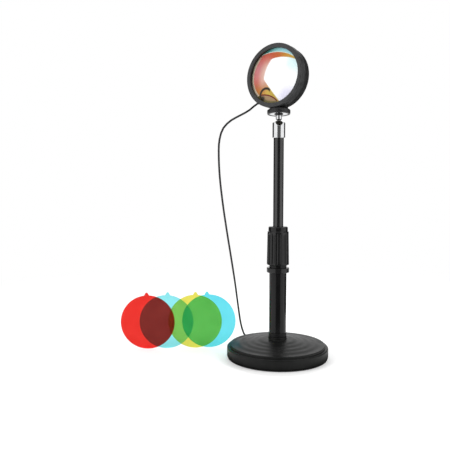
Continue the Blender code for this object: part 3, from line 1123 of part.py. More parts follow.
def smooth_run(knots, spacing):
    """Even points along a smooth curve through the knots."""
    fine = []
    before = knots[0] * 2 - knots[1]
    after = knots[-1] * 2 - knots[-2]
    padded = [before] + knots + [after]
    for start in range(1, len(padded) - 2):
        first, second, third, fourth = padded[start - 1:start + 3]
        for part in range(KNOT_PARTS):
            t = part / KNOT_PARTS
            bend = (first * -1 + second * 3 - third * 3 + fourth) * t ** 3
            sway = (first * 2 - second * 5 + third * 4 - fourth) * t ** 2
            fine.append((second * 2 + (third - first) * t + sway + bend) / 2)
    fine.append(knots[-1])
    return even_points(fine, spacing)


def even_points(fine, spacing):
    """The same run with its points at one spacing, ends kept."""
    travelled = [0.0]
    for near, far in zip(fine, fine[1:]):
        travelled.append(travelled[-1] + (far - near).length)
    count = max(2, round(travelled[-1] / spacing))
    points = []
    place_now = 0
    for step in range(count + 1):
        target = travelled[-1] * step / count
        while place_now < len(fine) - 2 and travelled[place_now + 1] < target:
            place_now += 1
        reach = travelled[place_now + 1] - travelled[place_now]
        points.append(fine[place_now].lerp(fine[place_now + 1], (target - travelled[place_now]) / reach))
    return points


def shortened(points, start_gap, end_gap):
    """The run with its two ends drawn in."""
    first = points[0] + (points[1] - points[0]).normalized() * start_gap
    last = points[-1] + (points[-2] - points[-1]).normalized() * end_gap
    return [first] + points[1:-1] + [last]


def run_length(points):
    return sum((far - near).length for near, far in zip(points, points[1:]))


bpy.context.view_layer.update()
gland_tip = gland_axis.matrix_world @ Vector((0, 0, GLAND_END))
hanging = smooth_run([gland_tip] + [Vector(knot) for knot in HANGING_ROUTE] + [coil_in], CORD_STEP)
cuts = [0]
for cut_point in STRETCH_ENDS:
    nearness = [(point - Vector(cut_point)).length for point in hanging]
    cuts.append(nearness.index(min(nearness)))
cuts.append(len(hanging) - 1)
cord_length = run_length(hanging) + run_length(coil_points)
for name, start, end in zip(STRETCH_NAMES, cuts, cuts[1:]):
    stretch = shortened(hanging[start:end + 1], SEAT_GAP / 2, SEAT_GAP / 2)
    tube(name, stretch, CORD_RADIUS, CORD_ARC_STEPS, cord_rubber)

bpy.context.view_layer.update()
plug_entry = plug_axis.matrix_world @ Vector((0, 0, RELIEF_START))
plug_run_in = plug_axis.matrix_world @ Vector((0, 0, RELIEF_START - CORD_RADIUS * 2))
tail_knots = [coil_out] + [Vector(knot) for knot in TAIL_ROUTE] + [plug_run_in, plug_entry]
tail = smooth_run(tail_knots, CORD_STEP / 2)
tube("cord_tail", shortened(tail, SEAT_GAP, SEAT_GAP), CORD_RADIUS, CORD_ARC_STEPS, cord_rubber)
print("Length of the lead, mm:", round((cord_length + run_length(tail)) * 1000))


# Colour filters: thin discs with a small pull tab at the top, standing one behind the other
def filter_outline():
    """A disc whose top carries a tapered tab, in (across, up) from the disc's centre."""
    tab_reach = math.sqrt(FILTER_RADIUS ** 2 - (NIB_FOOT_WIDTH / 2) ** 2)
    tab_angle = math.asin(NIB_FOOT_WIDTH / 2 / FILTER_RADIUS)
    outline = []
    for step in range(FILTER_TURN + 1):
        angle = math.pi / 2 + tab_angle + (FULL_TURN - 2 * tab_angle) * step / FILTER_TURN
        outline.append((FILTER_RADIUS * math.cos(angle), FILTER_RADIUS * math.sin(angle)))
    tab_top = tab_reach + NIB_HEIGHT
    outline += [(NIB_TIP_WIDTH / 2, tab_top - NIB_TIP_WIDTH / 4), (NIB_TIP_WIDTH / 4, tab_top),
                (-NIB_TIP_WIDTH / 4, tab_top), (-NIB_TIP_WIDTH / 2, tab_top - NIB_TIP_WIDTH / 4)]
    return outline


FILTERS = (("filter_red", FILTER_RED_PLACE, FILTER_RED_TURN, (0.824, 0.043, 0.033)),
           ("filter_sky", FILTER_SKY_PLACE, FILTER_SKY_TURN, (0.283, 0.775, 0.840)),
           ("filter_yellow", FILTER_YELLOW_PLACE, FILTER_YELLOW_TURN, (0.768, 0.679, 0.102)),
           ("filter_blue", FILTER_BLUE_PLACE, FILTER_BLUE_TURN, (0.167, 0.706, 0.820)))
for order, (name, across, turn, colour) in enumerate(FILTERS):
    depth = FILTER_FIRST_DEPTH + FILTER_SPACING * order
    stand = empty(name + "_stand", None, (across, depth, FILTER_RADIUS), (math.pi / 2, turn, 0))
    disc = prism(name, filter_outline(), -FILTER_THICKNESS / 2, FILTER_THICKNESS / 2)
    place(disc, finish(name + "_gel", colour, 0.1, 0.0, 0.6), stand)
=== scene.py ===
"""Sunset projection lamp on a telescopic table stand, dressed on its CAD frame. Metres, +Z up."""
from functools import partial
from math import acos, asin, cos, pi, radians, sin, sqrt, tan

import bmesh
import bpy
from mathutils import Matrix, Vector


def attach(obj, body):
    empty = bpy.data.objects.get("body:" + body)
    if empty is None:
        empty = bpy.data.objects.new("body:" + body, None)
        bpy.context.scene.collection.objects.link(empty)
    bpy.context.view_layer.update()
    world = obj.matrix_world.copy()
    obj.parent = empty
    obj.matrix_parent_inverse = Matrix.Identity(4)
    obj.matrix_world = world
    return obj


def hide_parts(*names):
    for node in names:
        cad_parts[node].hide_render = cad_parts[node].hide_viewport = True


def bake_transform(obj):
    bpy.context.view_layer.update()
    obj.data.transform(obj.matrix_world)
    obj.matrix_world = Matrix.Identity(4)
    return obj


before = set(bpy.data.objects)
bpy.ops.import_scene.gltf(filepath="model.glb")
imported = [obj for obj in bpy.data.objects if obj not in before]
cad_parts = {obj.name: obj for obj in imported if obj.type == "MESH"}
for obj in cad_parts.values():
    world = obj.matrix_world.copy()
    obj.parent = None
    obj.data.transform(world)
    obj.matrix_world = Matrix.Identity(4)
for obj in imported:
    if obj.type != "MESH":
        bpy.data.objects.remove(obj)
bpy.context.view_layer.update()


# View: a normal lens standing in front of the lamp and a little to its left, level with the middle of
# the mast and looking a few degrees down.
VIEW_LENS = 50
VIEW_WIDTH = 36
VIEW_PLACE = (-0.06766, -0.793, 0.23475)
VIEW_DOWN = radians(4.56)
QUARTER_TURN = pi / 2
scene = bpy.context.scene


def moved(across, away, up):
    return Matrix.Translation((across, away, up))


def spun(angle, way):
    return Matrix.Rotation(angle, 4, way)


def in_scene(name, data):
    """A new object that holds the data."""
    thing = bpy.data.objects.new(name, data)
    scene.collection.objects.link(thing)
    return thing


view_lens = bpy.data.cameras.new("view_lens")
view_lens.lens = VIEW_LENS
view_lens.sensor_width = VIEW_WIDTH
view_point = in_scene("view_point", view_lens)
view_point.location = VIEW_PLACE
view_point.rotation_euler = (QUARTER_TURN - VIEW_DOWN, 0, 0)
scene.camera = view_point
scene.view_settings.view_transform = "Standard"


# Studio: a white sweep lit softly from both sides and from behind above. It shows white to the eye and
# in bright metal, and still takes the lamp's shadow. Dark cloths, seen in reflections alone, hang at
# both sides behind the lamp and round the eye and lie on the floor, and give its surfaces contrast. The
# ring of cloth round the base's foot is painted shade: in reflections it stands in for the shadow there.
WHITE = (1, 1, 1, 1)
BLACK = (0, 0, 0, 1)
FLOOR_REACH = 4.0
FLOOR_CELLS = 8
FLOOR_TONE = 0.8
FLOOR_ROUGHNESS = 0.9
FLOOR_GLOW = 0.22
WHITE_FROM = 0.34
WHITE_TO = 0.8
ROOM_LIGHT = 0.5
# Each box: its name, place, size and power.
SOFT_BOXES = (
    ("left_box", (-0.95, -0.55, 0.55), (0.55, 1.0), 9.0),
    ("right_box", (0.95, -0.45, 0.6), (0.55, 1.0), 8.0),
    ("back_box", (0.15, 0.9, 0.95), (1.1, 0.5), 9.0))
AIM_HEIGHT = 0.18
# Each cloth: its name, bearings from the eye, the reach and height of its two edges, and its tone.
CLOTHS = (
    ("left_cloth", (98, 151), (0.75, 0.01), (0.75, 1.3), 0.05),
    ("right_cloth", (209, 262), (0.75, 0.01), (0.75, 1.3), 0.05),
    ("eye_cloth", (-30, 30), (1.2, 0.01), (1.2, 1.3), 0.1),
    ("near_cloth", (-30, 30), (0.12, 0.003), (1.2, 0.003), 0.17),
    # Painted shade: the foot cloth, seen only in reflections, stands in for the base's shadow on the floor.
    ("foot_shadow_cloth", (-110, 110), (0.0638, 0.0004), (0.082, 0.0004), 0.04),
    ("low_right_cloth", (195, 262), (0.25, 0.003), (0.75, 0.003), 0.05))
CLOTH_STEPS = 36


def feed(tree, to_feed, inputs):
    """Sets a shader node's inputs, each to a value or to the socket that drives it."""
    for name, value in inputs.items():
        if isinstance(value, bpy.types.NodeSocket):
            tree.links.new(value, to_feed.inputs[name])
        else:
            to_feed.inputs[name].default_value = value


def node(tree, kind, inputs=None, **choices):
    """A new shader node's outputs, with its choices made and its inputs fed."""
    made = tree.nodes.new("ShaderNode" + kind)
    for name, choice in choices.items():
        setattr(made, name, choice)
    feed(tree, made, inputs or {})
    return made.outputs


def worked_out(tree, operation, *values):
    """One step of arithmetic on sockets or numbers."""
    return node(tree, "Math", dict(enumerate(values)), operation=operation)[0]


def eased_step(tree, value, none, full):
    """0 where the value is at none, 1 where it is at full, and smooth between."""
    return node(tree, "MapRange", {"Value": value, "From Min": none, "From Max": full},
                interpolation_type="SMOOTHSTEP")["Result"]


def ranged(tree, value, taken=(0, 1), given=(0, 1)):
    """A value carried from one range over to another, and kept inside it."""
    return node(tree, "MapRange", {"Value": value, "From Min": taken[0], "From Max": taken[1],
                                   "To Min": given[0], "To Max": given[1]})["Result"]


def seen_white(tree):
    """1 on the rays that the eye, a reflection or clear glass looks along, and 0 on light's own."""
    rays = node(tree, "LightPath")
    either = worked_out(tree, "MAXIMUM", rays["Is Camera Ray"], rays["Is Glossy Ray"])
    return worked_out(tree, "MAXIMUM", either, rays["Is Transmission Ray"])


def as_piece(name, shape, axis=None):
    """A mesh in code as an object, with its faces turned outward, set on an axis."""
    bmesh.ops.recalc_face_normals(shape, faces=shape.faces)
    mesh = bpy.data.meshes.new(name)
    shape.to_mesh(mesh)
    shape.free()
    if axis:
        mesh.transform(axis)
    return in_scene(name, mesh)


def new_material(name):
    """A new material, its node tree and its shader."""
    material = bpy.data.materials.new(name)
    material.use_nodes = True
    return material, material.node_tree, material.node_tree.nodes["Principled BSDF"]


def mixed_surface(tree, share, first, second):
    """Gives the material two shaders, mixed by a share."""
    both = node(tree, "MixShader", {"Fac": share, 1: first, 2: second})
    feed(tree, tree.nodes["Material Output"], {"Surface": both["Shader"]})


room = bpy.data.worlds.new("room")
room.use_nodes = True
scene.world = room
room_tree = room.node_tree
room_strength = ranged(room_tree, seen_white(room_tree), given=(ROOM_LIGHT, 1))
feed(room_tree, room_tree.nodes["Background"], {"Color": WHITE, "Strength": room_strength})

paper, paper_tree, paper_face = new_material("white_paper")
looked_at = seen_white(paper_tree)
feed(paper_tree, paper_face, {
    "Base Color": (FLOOR_TONE, FLOOR_TONE, FLOOR_TONE, 1), "Roughness": FLOOR_ROUGHNESS,
    "Emission Color": WHITE,
    "Emission Strength": worked_out(paper_tree, "MULTIPLY", looked_at, FLOOR_GLOW)})
far_out = node(paper_tree, "VectorMath", {0: node(paper_tree, "TexCoord")["Object"]}, operation="LENGTH")
far_share = eased_step(paper_tree, far_out["Value"], WHITE_FROM, WHITE_TO)
mixed_surface(paper_tree, worked_out(paper_tree, "MULTIPLY", far_share, looked_at),
              paper_face.outputs["BSDF"], node(paper_tree, "Emission")["Emission"])

sweep = bmesh.new()
bmesh.ops.create_grid(sweep, x_segments=FLOOR_CELLS, y_segments=FLOOR_CELLS, size=FLOOR_REACH)
floor = as_piece("floor", sweep)
floor.data.materials.append(paper)

for name, (start, end), near_edge, far_edge, tone in CLOTHS:
    cloth, cloth_tree, cloth_face = new_material(name)
    feed(cloth_tree, cloth_face, {"Base Color": BLACK, "Specular IOR Level": 0, "Emission Color": WHITE,
                                  "Emission Strength": tone})
    hung = bmesh.new()
    rows = []
    for step in range(CLOTH_STEPS + 1):
        bearing = radians(start + (end - start) * step / CLOTH_STEPS)
        rows.append([hung.verts.new((-reach * sin(bearing), -reach * cos(bearing), height))
                     for reach, height in (near_edge, far_edge)])
    for near, far in zip(rows, rows[1:]):
        hung.faces.new((near[0], far[0], far[1], near[1]))
    cloth_piece = as_piece(name, hung)
    cloth_piece.data.materials.append(cloth)
    for sight in ("camera", "diffuse", "shadow", "transmission"):
        setattr(cloth_piece, "visible_" + sight, False)

for name, lamp_place, lamp_size, power in SOFT_BOXES:
    light = bpy.data.lights.new(name, "AREA")
    light.shape = "RECTANGLE"
    light.size, light.size_y = lamp_size
    light.energy = power
    soft_box = in_scene(name, light)
    soft_box.location = lamp_place
    soft_box.visible_glossy = False
    aim = Vector((0, 0, AIM_HEIGHT)) - Vector(lamp_place)
    soft_box.rotation_euler = aim.to_track_quat("-Z", "Y").to_euler()


# Base cover: a black moulded shell of two tiers with four soft ring waves and a small hub, pressed over
# the cast ballast and held by one bolt from below. Its satin face has a fine spark-eroded grain.
FULL_TURN = 2 * pi
ON_AXIS = 0.00001
EDGE_SHARE = 0.48
SHARP = radians(38)
PATCH_TONES = (0.35, 0.68)
PATCH_GLOSS = (0.3, 0.7)
PATCH_DETAIL = 4
GRAIN_DETAIL = 3
WORN_BEND = (0.53, 0.62)
WORN_SHARE = 0.5
BASE_STEPS = 160
RING_COUNT = 4
RING_PARTS = 12
RING_PITCH = 0.0091
RING_RISE = 0.0016
RING_WAVE = 0.6
RINGS_FROM = 0.0557
TIER_TOP = 0.0179


def eased(outline, ease, parts=4):
    """The outline with its corners rounded. A third number on a point is that corner's own radius."""
    points = []
    for here, (radius, height, *own) in enumerate(outline):
        corner = Vector((radius, height))
        reach = own[0] if own else ease
        if radius < ON_AXIS or reach == 0:
            points.append(corner)
            continue
        before = Vector(outline[here - 1][:2]) - corner
        after = Vector(outline[(here + 1) % len(outline)][:2]) - corner
        reach = min(reach / tan(before.angle(after) / 2), before.length * EDGE_SHARE,
                    after.length * EDGE_SHARE)
        start = corner + before.normalized() * reach
        end = corner + after.normalized() * reach
        for part in range(parts + 1):
            along = part / parts
            points.append(start * (1 - along) ** 2 + corner * 2 * along * (1 - along) + end * along ** 2)
    return points


def skinned(name, loops, axis=None, ring=False):
    """A piece skinned over loops of points, as a ring or with its ends closed. A loop of one point is
    a pole, and the other loops all have the same count."""
    shape = bmesh.new()
    rows = [[shape.verts.new(point) for point in loop] for loop in loops]
    pairs = list(zip(rows, rows[1:]))
    if ring:
        pairs.append((rows[-1], rows[0]))
    for low, high in pairs:
        for step in range(max(len(low), len(high))):
            corners = (low[step % len(low)], low[(step + 1) % len(low)],
                       high[(step + 1) % len(high)], high[step % len(high)])
            shape.faces.new(dict.fromkeys(corners))
    if not ring and len(rows[0]) > 1:
        shape.faces.new(rows[0])
        shape.faces.new(rows[-1])
    return as_piece(name, shape, axis)


def turned(name, outline, steps, axis=None, worked=None):
    """A piece turned on a lathe: an outline of (radius, height) points, run round the Z axis.
    worked(radius, height, bearing) gives the radius and height of a point that isn't plainly round."""
    loops = []
    for radius, height in outline:
        if radius < ON_AXIS:
            loops.append([(0, 0, height)])
            continue
        loop = []
        for step in range(steps):
            bearing = FULL_TURN * step / steps
            out, up = worked(radius, height, bearing) if worked else (radius, height)
            loop.append((out * cos(bearing), out * sin(bearing), up))
        loops.append(loop)
    return skinned(name, loops, axis, ring=len(loops[0]) > 1)


def ramp_of(tree, stops, value):
    """A colour ramp through (place, colour) stops, fed by a value."""
    ramp = tree.nodes.new("ShaderNodeValToRGB")
    while len(ramp.color_ramp.elements) < len(stops):
        ramp.color_ramp.elements.new(0.5)
    for element, (spot, colour) in zip(ramp.color_ramp.elements, stops):
        element.position = spot
        element.color = (*colour, 1)
    feed(tree, ramp, {"Fac": value})
    return ramp.outputs["Color"]


def laid_over(tree, share, under, over):
    """One colour over another, by a share. Each is a socket or a plain colour."""
    under, over = ((*colour, 1) if isinstance(colour, tuple) else colour for colour in (under, over))
    return node(tree, "Mix", {"Factor": share, "A": under, "B": over}, data_type="RGBA")["Result"]


def clouds_of(tree, place, size, detail):
    """Slow noise, with patches of a size in metres."""
    return node(tree, "TexNoise", {"Vector": place, "Scale": 1 / size, "Detail": detail})["Fac"]


def finish(name, dark, light, patch, gloss, grain, relief, metallic=0.0, run=(1, 1, 1), worn=None,
           shine=0.5):
    """A surface with slow patches between two tones, uneven gloss, a fine grain, and paler worn edges.
    patch and grain are the sizes of the patches and grain in metres; run stretches both, and shine is
    how strongly the surface mirrors its surroundings."""
    material, tree, face = new_material(name)
    place = node(tree, "Mapping", {"Vector": node(tree, "TexCoord")["Object"], "Scale": run})["Vector"]
    patches = clouds_of(tree, place, patch, PATCH_DETAIL)
    shade = ramp_of(tree, tuple(zip(PATCH_TONES, (dark, light))), patches)
    if worn:
        rubbed = ranged(tree, node(tree, "NewGeometry")["Pointiness"], WORN_BEND, (0, WORN_SHARE))
        shade = laid_over(tree, rubbed, shade, worn)
    bump = node(tree, "Bump", {"Height": clouds_of(tree, place, grain, GRAIN_DETAIL), "Strength": 1.0,
                               "Distance": relief})["Normal"]
    feed(tree, face, {"Metallic": metallic, "Specular IOR Level": shine, "Base Color": shade,
                      "Roughness": ranged(tree, patches, PATCH_GLOSS, gloss), "Normal": bump})
    return material


metal = partial(finish, metallic=1.0)


def fit(piece, material, slot, body, *nodes):
    """Gives a piece its finish, its shading and its body, and hides the CAD nodes that it stands for."""
    piece.data.materials.append(material)
    piece.data.shade_smooth()
    piece.data.set_sharp_from_angle(angle=SHARP)
    even = piece.modifiers.new("even_shading", "WEIGHTED_NORMAL")
    even.keep_sharp = True
    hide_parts(*nodes)
    if body:
        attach(piece, body)
    return piece


def dress(cad_node, outline, ease, steps, material, slot, body, axis=None, worked=None):
    """A turned piece with its corners eased, in the place of one CAD node."""
    piece = turned(cad_node + "_dressed", eased(outline, ease), steps, axis, worked)
    return fit(piece, material, slot, body, cad_node)


cover_outline = [
    (0.064, 0.0008, 0.0003), (0.065, 0.0034, 0.004), (0.065, 0.0149, 0.0022), (0.0612, 0.0149, 0.0004),
    (0.0612, TIER_TOP, 0.0012)]
for step in range(RING_COUNT * RING_PARTS + 1):
    ring = step / RING_PARTS
    wave = ring - RING_WAVE * sin(FULL_TURN * ring) / FULL_TURN
    cover_outline.append((RINGS_FROM - RING_PITCH * ring, TIER_TOP + RING_RISE * wave, 0))
cover_outline += [
    (0.0118, 0.0245, 0.0008), (0.0118, 0.0281, 0.0008), (0.0043, 0.0281), (0.0043, 0.0102),
    (0.01, 0.0102), (0.01, 0.0231), (0.0489, 0.0151), (0.059, 0.0151), (0.0628, 0.012), (0.0618, 0.0008)]
base_plastic = finish(
    "satin_base_plastic", (0.0055, 0.0057, 0.0055), (0.0095, 0.0099, 0.0095), 0.011, (0.36, 0.46),
    0.00035, 0.00001, worn=(0.012, 0.0125, 0.012), shine=0.2)
dress("base_cover", cover_outline, 0.0002, BASE_STEPS, base_plastic, "base_plastic", "base")


# Foot pad and the stack inside the cover: a die-cut foam ring glued under a thin plate, a rough iron
# ballast casting, and the zinc-plated bolt and washer that clamp them to the mast.
pad_outline = [(0, 0.0), (0.062, 0.0, 0.0006), (0.062, 0.0015, 0.0003), (0, 0.0015)]
pad_foam = finish(
    "pad_foam", (0.006, 0.006, 0.0065), (0.014, 0.014, 0.015), 0.003, (0.85, 0.98), 0.0006, 0.00012)
dress("foot_pad", pad_outline, 0, BASE_STEPS, pad_foam, "foam_pad", "base")


def refinish(material, *nodes):
    """A better finish on CAD nodes whose shape is right as it is."""
    for cad_node in nodes:
        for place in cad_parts[cad_node].material_slots:
            place.material = material


zinc_steel = metal(
    "zinc_steel", (0.46, 0.47, 0.48), (0.6, 0.61, 0.62), 0.003, (0.24, 0.4), 0.0005, 0.00001)
refinish(finish("cast_iron", (0.1, 0.1, 0.105), (0.17, 0.165, 0.16), 0.004, (0.6, 0.85), 0.0009, 0.00015,
                metallic=0.6), "base_weight")
refinish(finish("plate_plastic", (0.014, 0.014, 0.015), (0.024, 0.024, 0.026), 0.006, (0.45, 0.6), 0.0005,
                0.00002), "base_plate")
refinish(zinc_steel, "base_bolt", "base_washer")


# Lower mast: a steel tube powder-coated black, standing on a moulded collar that is bolted through the
# hub, with a moulded stop ring pressed on below the lock nut.
TUBE_STEPS = 96
foot_outline = [
    (0.0043, 0.0284), (0.0115, 0.0284, 0.0004), (0.0115, 0.033, 0.0004), (0.0095, 0.033),
    (0.0095, 0.04, 0.0004), (0.0043, 0.04)]
tube_outline = [(0.0098, 0.0333), (0.011, 0.0333, 0.0002), (0.011, 0.148, 0.0003), (0.0098, 0.148)]
stop_outline = [(0.0112, 0.111), (0.0143, 0.111, 0.001), (0.0143, 0.1172, 0.0006), (0.0112, 0.1172)]
collar_plastic = finish(
    "collar_plastic", (0.006, 0.006, 0.0062), (0.01, 0.01, 0.0104), 0.004, (0.36, 0.48), 0.0004, 0.00001,
    shine=0.25)
black_coat = finish(
    "black_powder_coat", (0.0024, 0.0024, 0.0025), (0.0045, 0.0046, 0.0047), 0.006, (0.16, 0.22), 0.00055,
    0.000004, run=(1, 1, 0.25), shine=0.27)
grip_plastic = finish(
    "moulded_grip_plastic", (0.003, 0.003, 0.0031), (0.006, 0.0061, 0.0062), 0.003, (0.13, 0.19), 0.0003,
    0.000003, worn=(0.01, 0.01, 0.0105), shine=0.44)
dress("tube_foot", foot_outline, 0.0002, TUBE_STEPS, collar_plastic, "base_plastic", "base")
dress("lower_tube", tube_outline, 0.0002, TUBE_STEPS, black_coat, "black_tube", "base")
dress("stop_ring", stop_outline, 0.0002, TUBE_STEPS, grip_plastic, "grip_plastic", "base")


# Lock nut: a moulded nut on the lower tube's thread, tapered, with twelve rounded flutes for the
# fingers and a smooth shoulder above. It squeezes the slit nylon collet on the upper tube.
NUT_STEPS = 288
FLUTE_COUNT = 12
FLUTE_HALF = 0.27
FLUTE_DEPTH = 0.0009
FLUTE_FADE = 0.0012
FLUTE_SKIN = (0.0122, 0.0008)
GRIP_LOW = 0.1222
GRIP_HIGH = 0.1618
TAPER_PARTS = 24
TAPER_FOOT = (0.0142, 0.1215)
TAPER_IN = 0.0007
TAPER_UP = 0.0416


def groove_at(bearing, count, half):
    """How deep a point lies in the nearest of a count of round grooves, from 0 to 1."""
    across = (bearing * count / FULL_TURN + 0.5) % 1 - 0.5
    return sqrt(max(0.0, 1 - (across / half) ** 2))


def held(value):
    """The value, kept between 0 and 1."""
    return min(1.0, max(0.0, value))


def fluted(radius, height, bearing):
    """Draws the grip in at each flute, fading out at both ends of the grip."""
    ends = held(min(height - GRIP_LOW, GRIP_HIGH - height) / FLUTE_FADE)
    outer = held((radius - FLUTE_SKIN[0]) / FLUTE_SKIN[1])
    return radius - FLUTE_DEPTH * groove_at(bearing, FLUTE_COUNT, FLUTE_HALF) * ends * outer, height


nut_outline = [(0.0113, 0.1207), (0.0134, 0.1207, 0.0003), (*TAPER_FOOT, 0.0004)]
for step in range(1, TAPER_PARTS):
    share = step / TAPER_PARTS
    nut_outline.append((TAPER_FOOT[0] - TAPER_IN * share, TAPER_FOOT[1] + TAPER_UP * share, 0))
nut_outline += [
    (0.0135, 0.1631, 0.0004), (0.0124, 0.1639, 0.0004), (0.0124, 0.1697, 0.0019), (0.007, 0.1697),
    (0.007, 0.165), (0.008, 0.165), (0.0101, 0.15), (0.0113, 0.15)]
dress("lock_nut", nut_outline, 0.0003, NUT_STEPS, grip_plastic, "grip_plastic", "clamp_nut", worked=fluted)
nylon = finish("natural_nylon", (0.62, 0.61, 0.56), (0.74, 0.73, 0.68), 0.004, (0.35, 0.5), 0.0006, 0.00001)
refinish(nylon, "collet", "guide_bush", "ball_cup")


# Upper mast: a thinner tube that slides in the lower one, with a guide bush at its foot and a steel
# plug in its top. Its black coat is a glossier one, rubbed smooth by the nut's collet.
upper_outline = [(0.0053, 0.121), (0.0065, 0.121, 0.0003), (0.0065, 0.2872, 0.0003), (0.0053, 0.2872)]
slide_coat = finish(
    "smooth_black_coat", (0.003, 0.003, 0.0031), (0.005, 0.0051, 0.0052), 0.006, (0.12, 0.17), 0.00055,
    0.000004, run=(1, 1, 0.25), shine=0.95)
dress("upper_tube", upper_outline, 0.0002, TUBE_STEPS, slide_coat, "black_tube", "mast")
refinish(zinc_steel, "mast_plug")


# Ball joint: a chromed sleeve crimped over the ball, with a round notch in the front of its rim that
# lets the neck lie down, and the chromed ball, neck and threaded stud turned in one piece. The ball's
# face is painted near black as shade and reflection: it stands in for the dark hollow round it in the
# notch and for the dark nut above it that it mirrors.
BALL_HEIGHT = 0.297
STEM_LEAN = radians(-6.56)
STEM_AXIS = moved(0, 0, BALL_HEIGHT) @ spun(STEM_LEAN, "X")
SLEEVE_STEPS = 192
NOTCH_RADIUS = 0.0046
NOTCH_MIDDLE = 0.3012
SLEEVE_TOP = 0.3006
SLEEVE_SHIFT_FROM = 0.2905
CHROME = ((0.78, 0.79, 0.8), (0.86, 0.87, 0.88), 0.004, (0.05, 0.11), 0.0006, 0.000002)


def notched(radius, height, bearing):
    """Lowers the sleeve's rim where the notch is, on the side that faces forward."""
    sideways = radius * cos(bearing)
    facing = sin(bearing) < 0 and abs(sideways) < NOTCH_RADIUS
    if not facing or height < SLEEVE_SHIFT_FROM:
        return radius, height
    rim = min(SLEEVE_TOP, NOTCH_MIDDLE - sqrt(NOTCH_RADIUS ** 2 - sideways ** 2))
    share = (height - SLEEVE_SHIFT_FROM) / (SLEEVE_TOP - SLEEVE_SHIFT_FROM)
    return radius, SLEEVE_SHIFT_FROM + share * (rim - SLEEVE_SHIFT_FROM)


sleeve_outline = [
    (0.0068, 0.2815), (0.0082, 0.2815, 0.0005), (0.0082, 0.2838, 0.0002), (0.0082, 0.2905, 0),
    (0.0082, 0.296, 0), (0.0082, 0.3006, 0.0007), (0.0058, 0.3006, 0.0003), (0.0068, 0.297, 0),
    (0.0071, 0.2965, 0), (0.0071, 0.2845), (0.0068, 0.2845)]
chrome = metal("bright_chrome_plate", *CHROME)
dress("ball_socket", sleeve_outline, 0.0002, SLEEVE_STEPS, chrome, "bright_chrome", "mast", worked=notched)

BALL_RADIUS = 0.0065
BALL_PARTS = 23
BALL_PAINTED_SHADE = (0.03, 0.029, 0.024)
SHADE_FROM = 0.0004
SHADE_FULL = 0.0001
NECK_RADIUS = 0.0026
STUD_RADIUS = 0.002
THREAD_ROOT = 0.00172
THREAD_START = 0.014
THREAD_PITCH = 0.0007
THREAD_TURNS = 17
stem_outline = [(0, -BALL_RADIUS)]
for step in range(1, BALL_PARTS + 1):
    angle = -QUARTER_TURN + (QUARTER_TURN + acos(NECK_RADIUS / BALL_RADIUS)) * step / BALL_PARTS
    stem_outline.append((BALL_RADIUS * cos(angle), BALL_RADIUS * sin(angle)))
stem_outline += [
    (NECK_RADIUS, 0.0062), (NECK_RADIUS, 0.0065), (0.0034, 0.007), (0.0039, 0.0075), (0.0039, 0.0129),
    (0.0036, 0.0132), (STUD_RADIUS, 0.0132)]
for thread in range(THREAD_TURNS):
    crest = THREAD_START + THREAD_PITCH * thread
    stem_outline += [(STUD_RADIUS, crest), (THREAD_ROOT, crest + THREAD_PITCH / 2)]
stem_outline += [(STUD_RADIUS, 0.0259), (0.0017, 0.0262), (0, 0.0262)]
ball_chrome = metal("greased_ball_chrome", *CHROME)
ball_tree = ball_chrome.node_tree
ball_face = ball_tree.nodes["Principled BSDF"]
# Painted shade and reflection: the ball's face is laid near black, for its dark hollow and the nut above.
off_ball = node(ball_tree, "VectorMath", {0: node(ball_tree, "TexCoord")["Object"], 1: (0, 0, BALL_HEIGHT)},
                operation="DISTANCE")["Value"]
ball_shade_share = ranged(ball_tree, off_ball, (BALL_RADIUS + SHADE_FROM, BALL_RADIUS + SHADE_FULL))
bare_chrome = ball_face.inputs["Base Color"].links[0].from_socket
feed(ball_tree, ball_face, {"Base Color": laid_over(ball_tree, ball_shade_share, bare_chrome, BALL_PAINTED_SHADE)})
dress("ball_stem", stem_outline, 0, TUBE_STEPS, ball_chrome, "bright_chrome", "stem", STEM_AXIS)


# Disc nut: a moulded thumb nut with a finely ribbed edge that locks the head on the stud, and the
# bright pressed washer held under it by the nut's turned-in lip.
RIB_COUNT = 24
RIB_HALF = 0.24
RIB_DEPTH = 0.00025
RIB_SKIN = (0.0138, 0.0006)
RIB_FOOT = (0.0152, 0.001)


def ribbed(radius, height, bearing):
    """Fine round grooves in the nut's edge, above its lip."""
    outer = held((radius - RIB_SKIN[0]) / RIB_SKIN[1])
    above = held((height - RIB_FOOT[0]) / RIB_FOOT[1])
    return radius - RIB_DEPTH * groove_at(bearing, RIB_COUNT, RIB_HALF) * outer * above, height


disc_outline = [
    (0.0023, 0.0135), (0.0054, 0.0135), (0.0054, 0.0158), (0.01425, 0.0158, 0.0001), (0.01425, 0.0142, 0),
    (0.0117, 0.0141, 0), (0.0117, 0.01395, 0), (0.0122, 0.0139, 0), (0.0146, 0.0152, 0.0004),
    (0.0146, 0.0189, 0.0004), (0.0124, 0.0206, 0.0005), (0.0023, 0.0206)]
washer_outline = [(0.0057, 0.0143), (0.0139, 0.0143, 0.0003), (0.0139, 0.0155, 0.0003), (0.0057, 0.0155)]
disc_plastic = finish(
    "moulded_disc_plastic", (0.014, 0.014, 0.0145), (0.023, 0.023, 0.024), 0.004, (0.34, 0.44), 0.0003,
    0.000008, shine=0.36)
bright_steel = metal(
    "bright_pressed_steel", (0.72, 0.73, 0.74), (0.8, 0.81, 0.82), 0.006, (0.1, 0.16), 0.0005, 0.000001)
dress("disc_nut", disc_outline, 0.0002, NUT_STEPS,
      disc_plastic, "grip_plastic", "thumb_nut", STEM_AXIS, ribbed)
dress("nut_washer", washer_outline, 0.0001, TUBE_STEPS, bright_steel, "bright_alloy", "stem", STEM_AXIS)


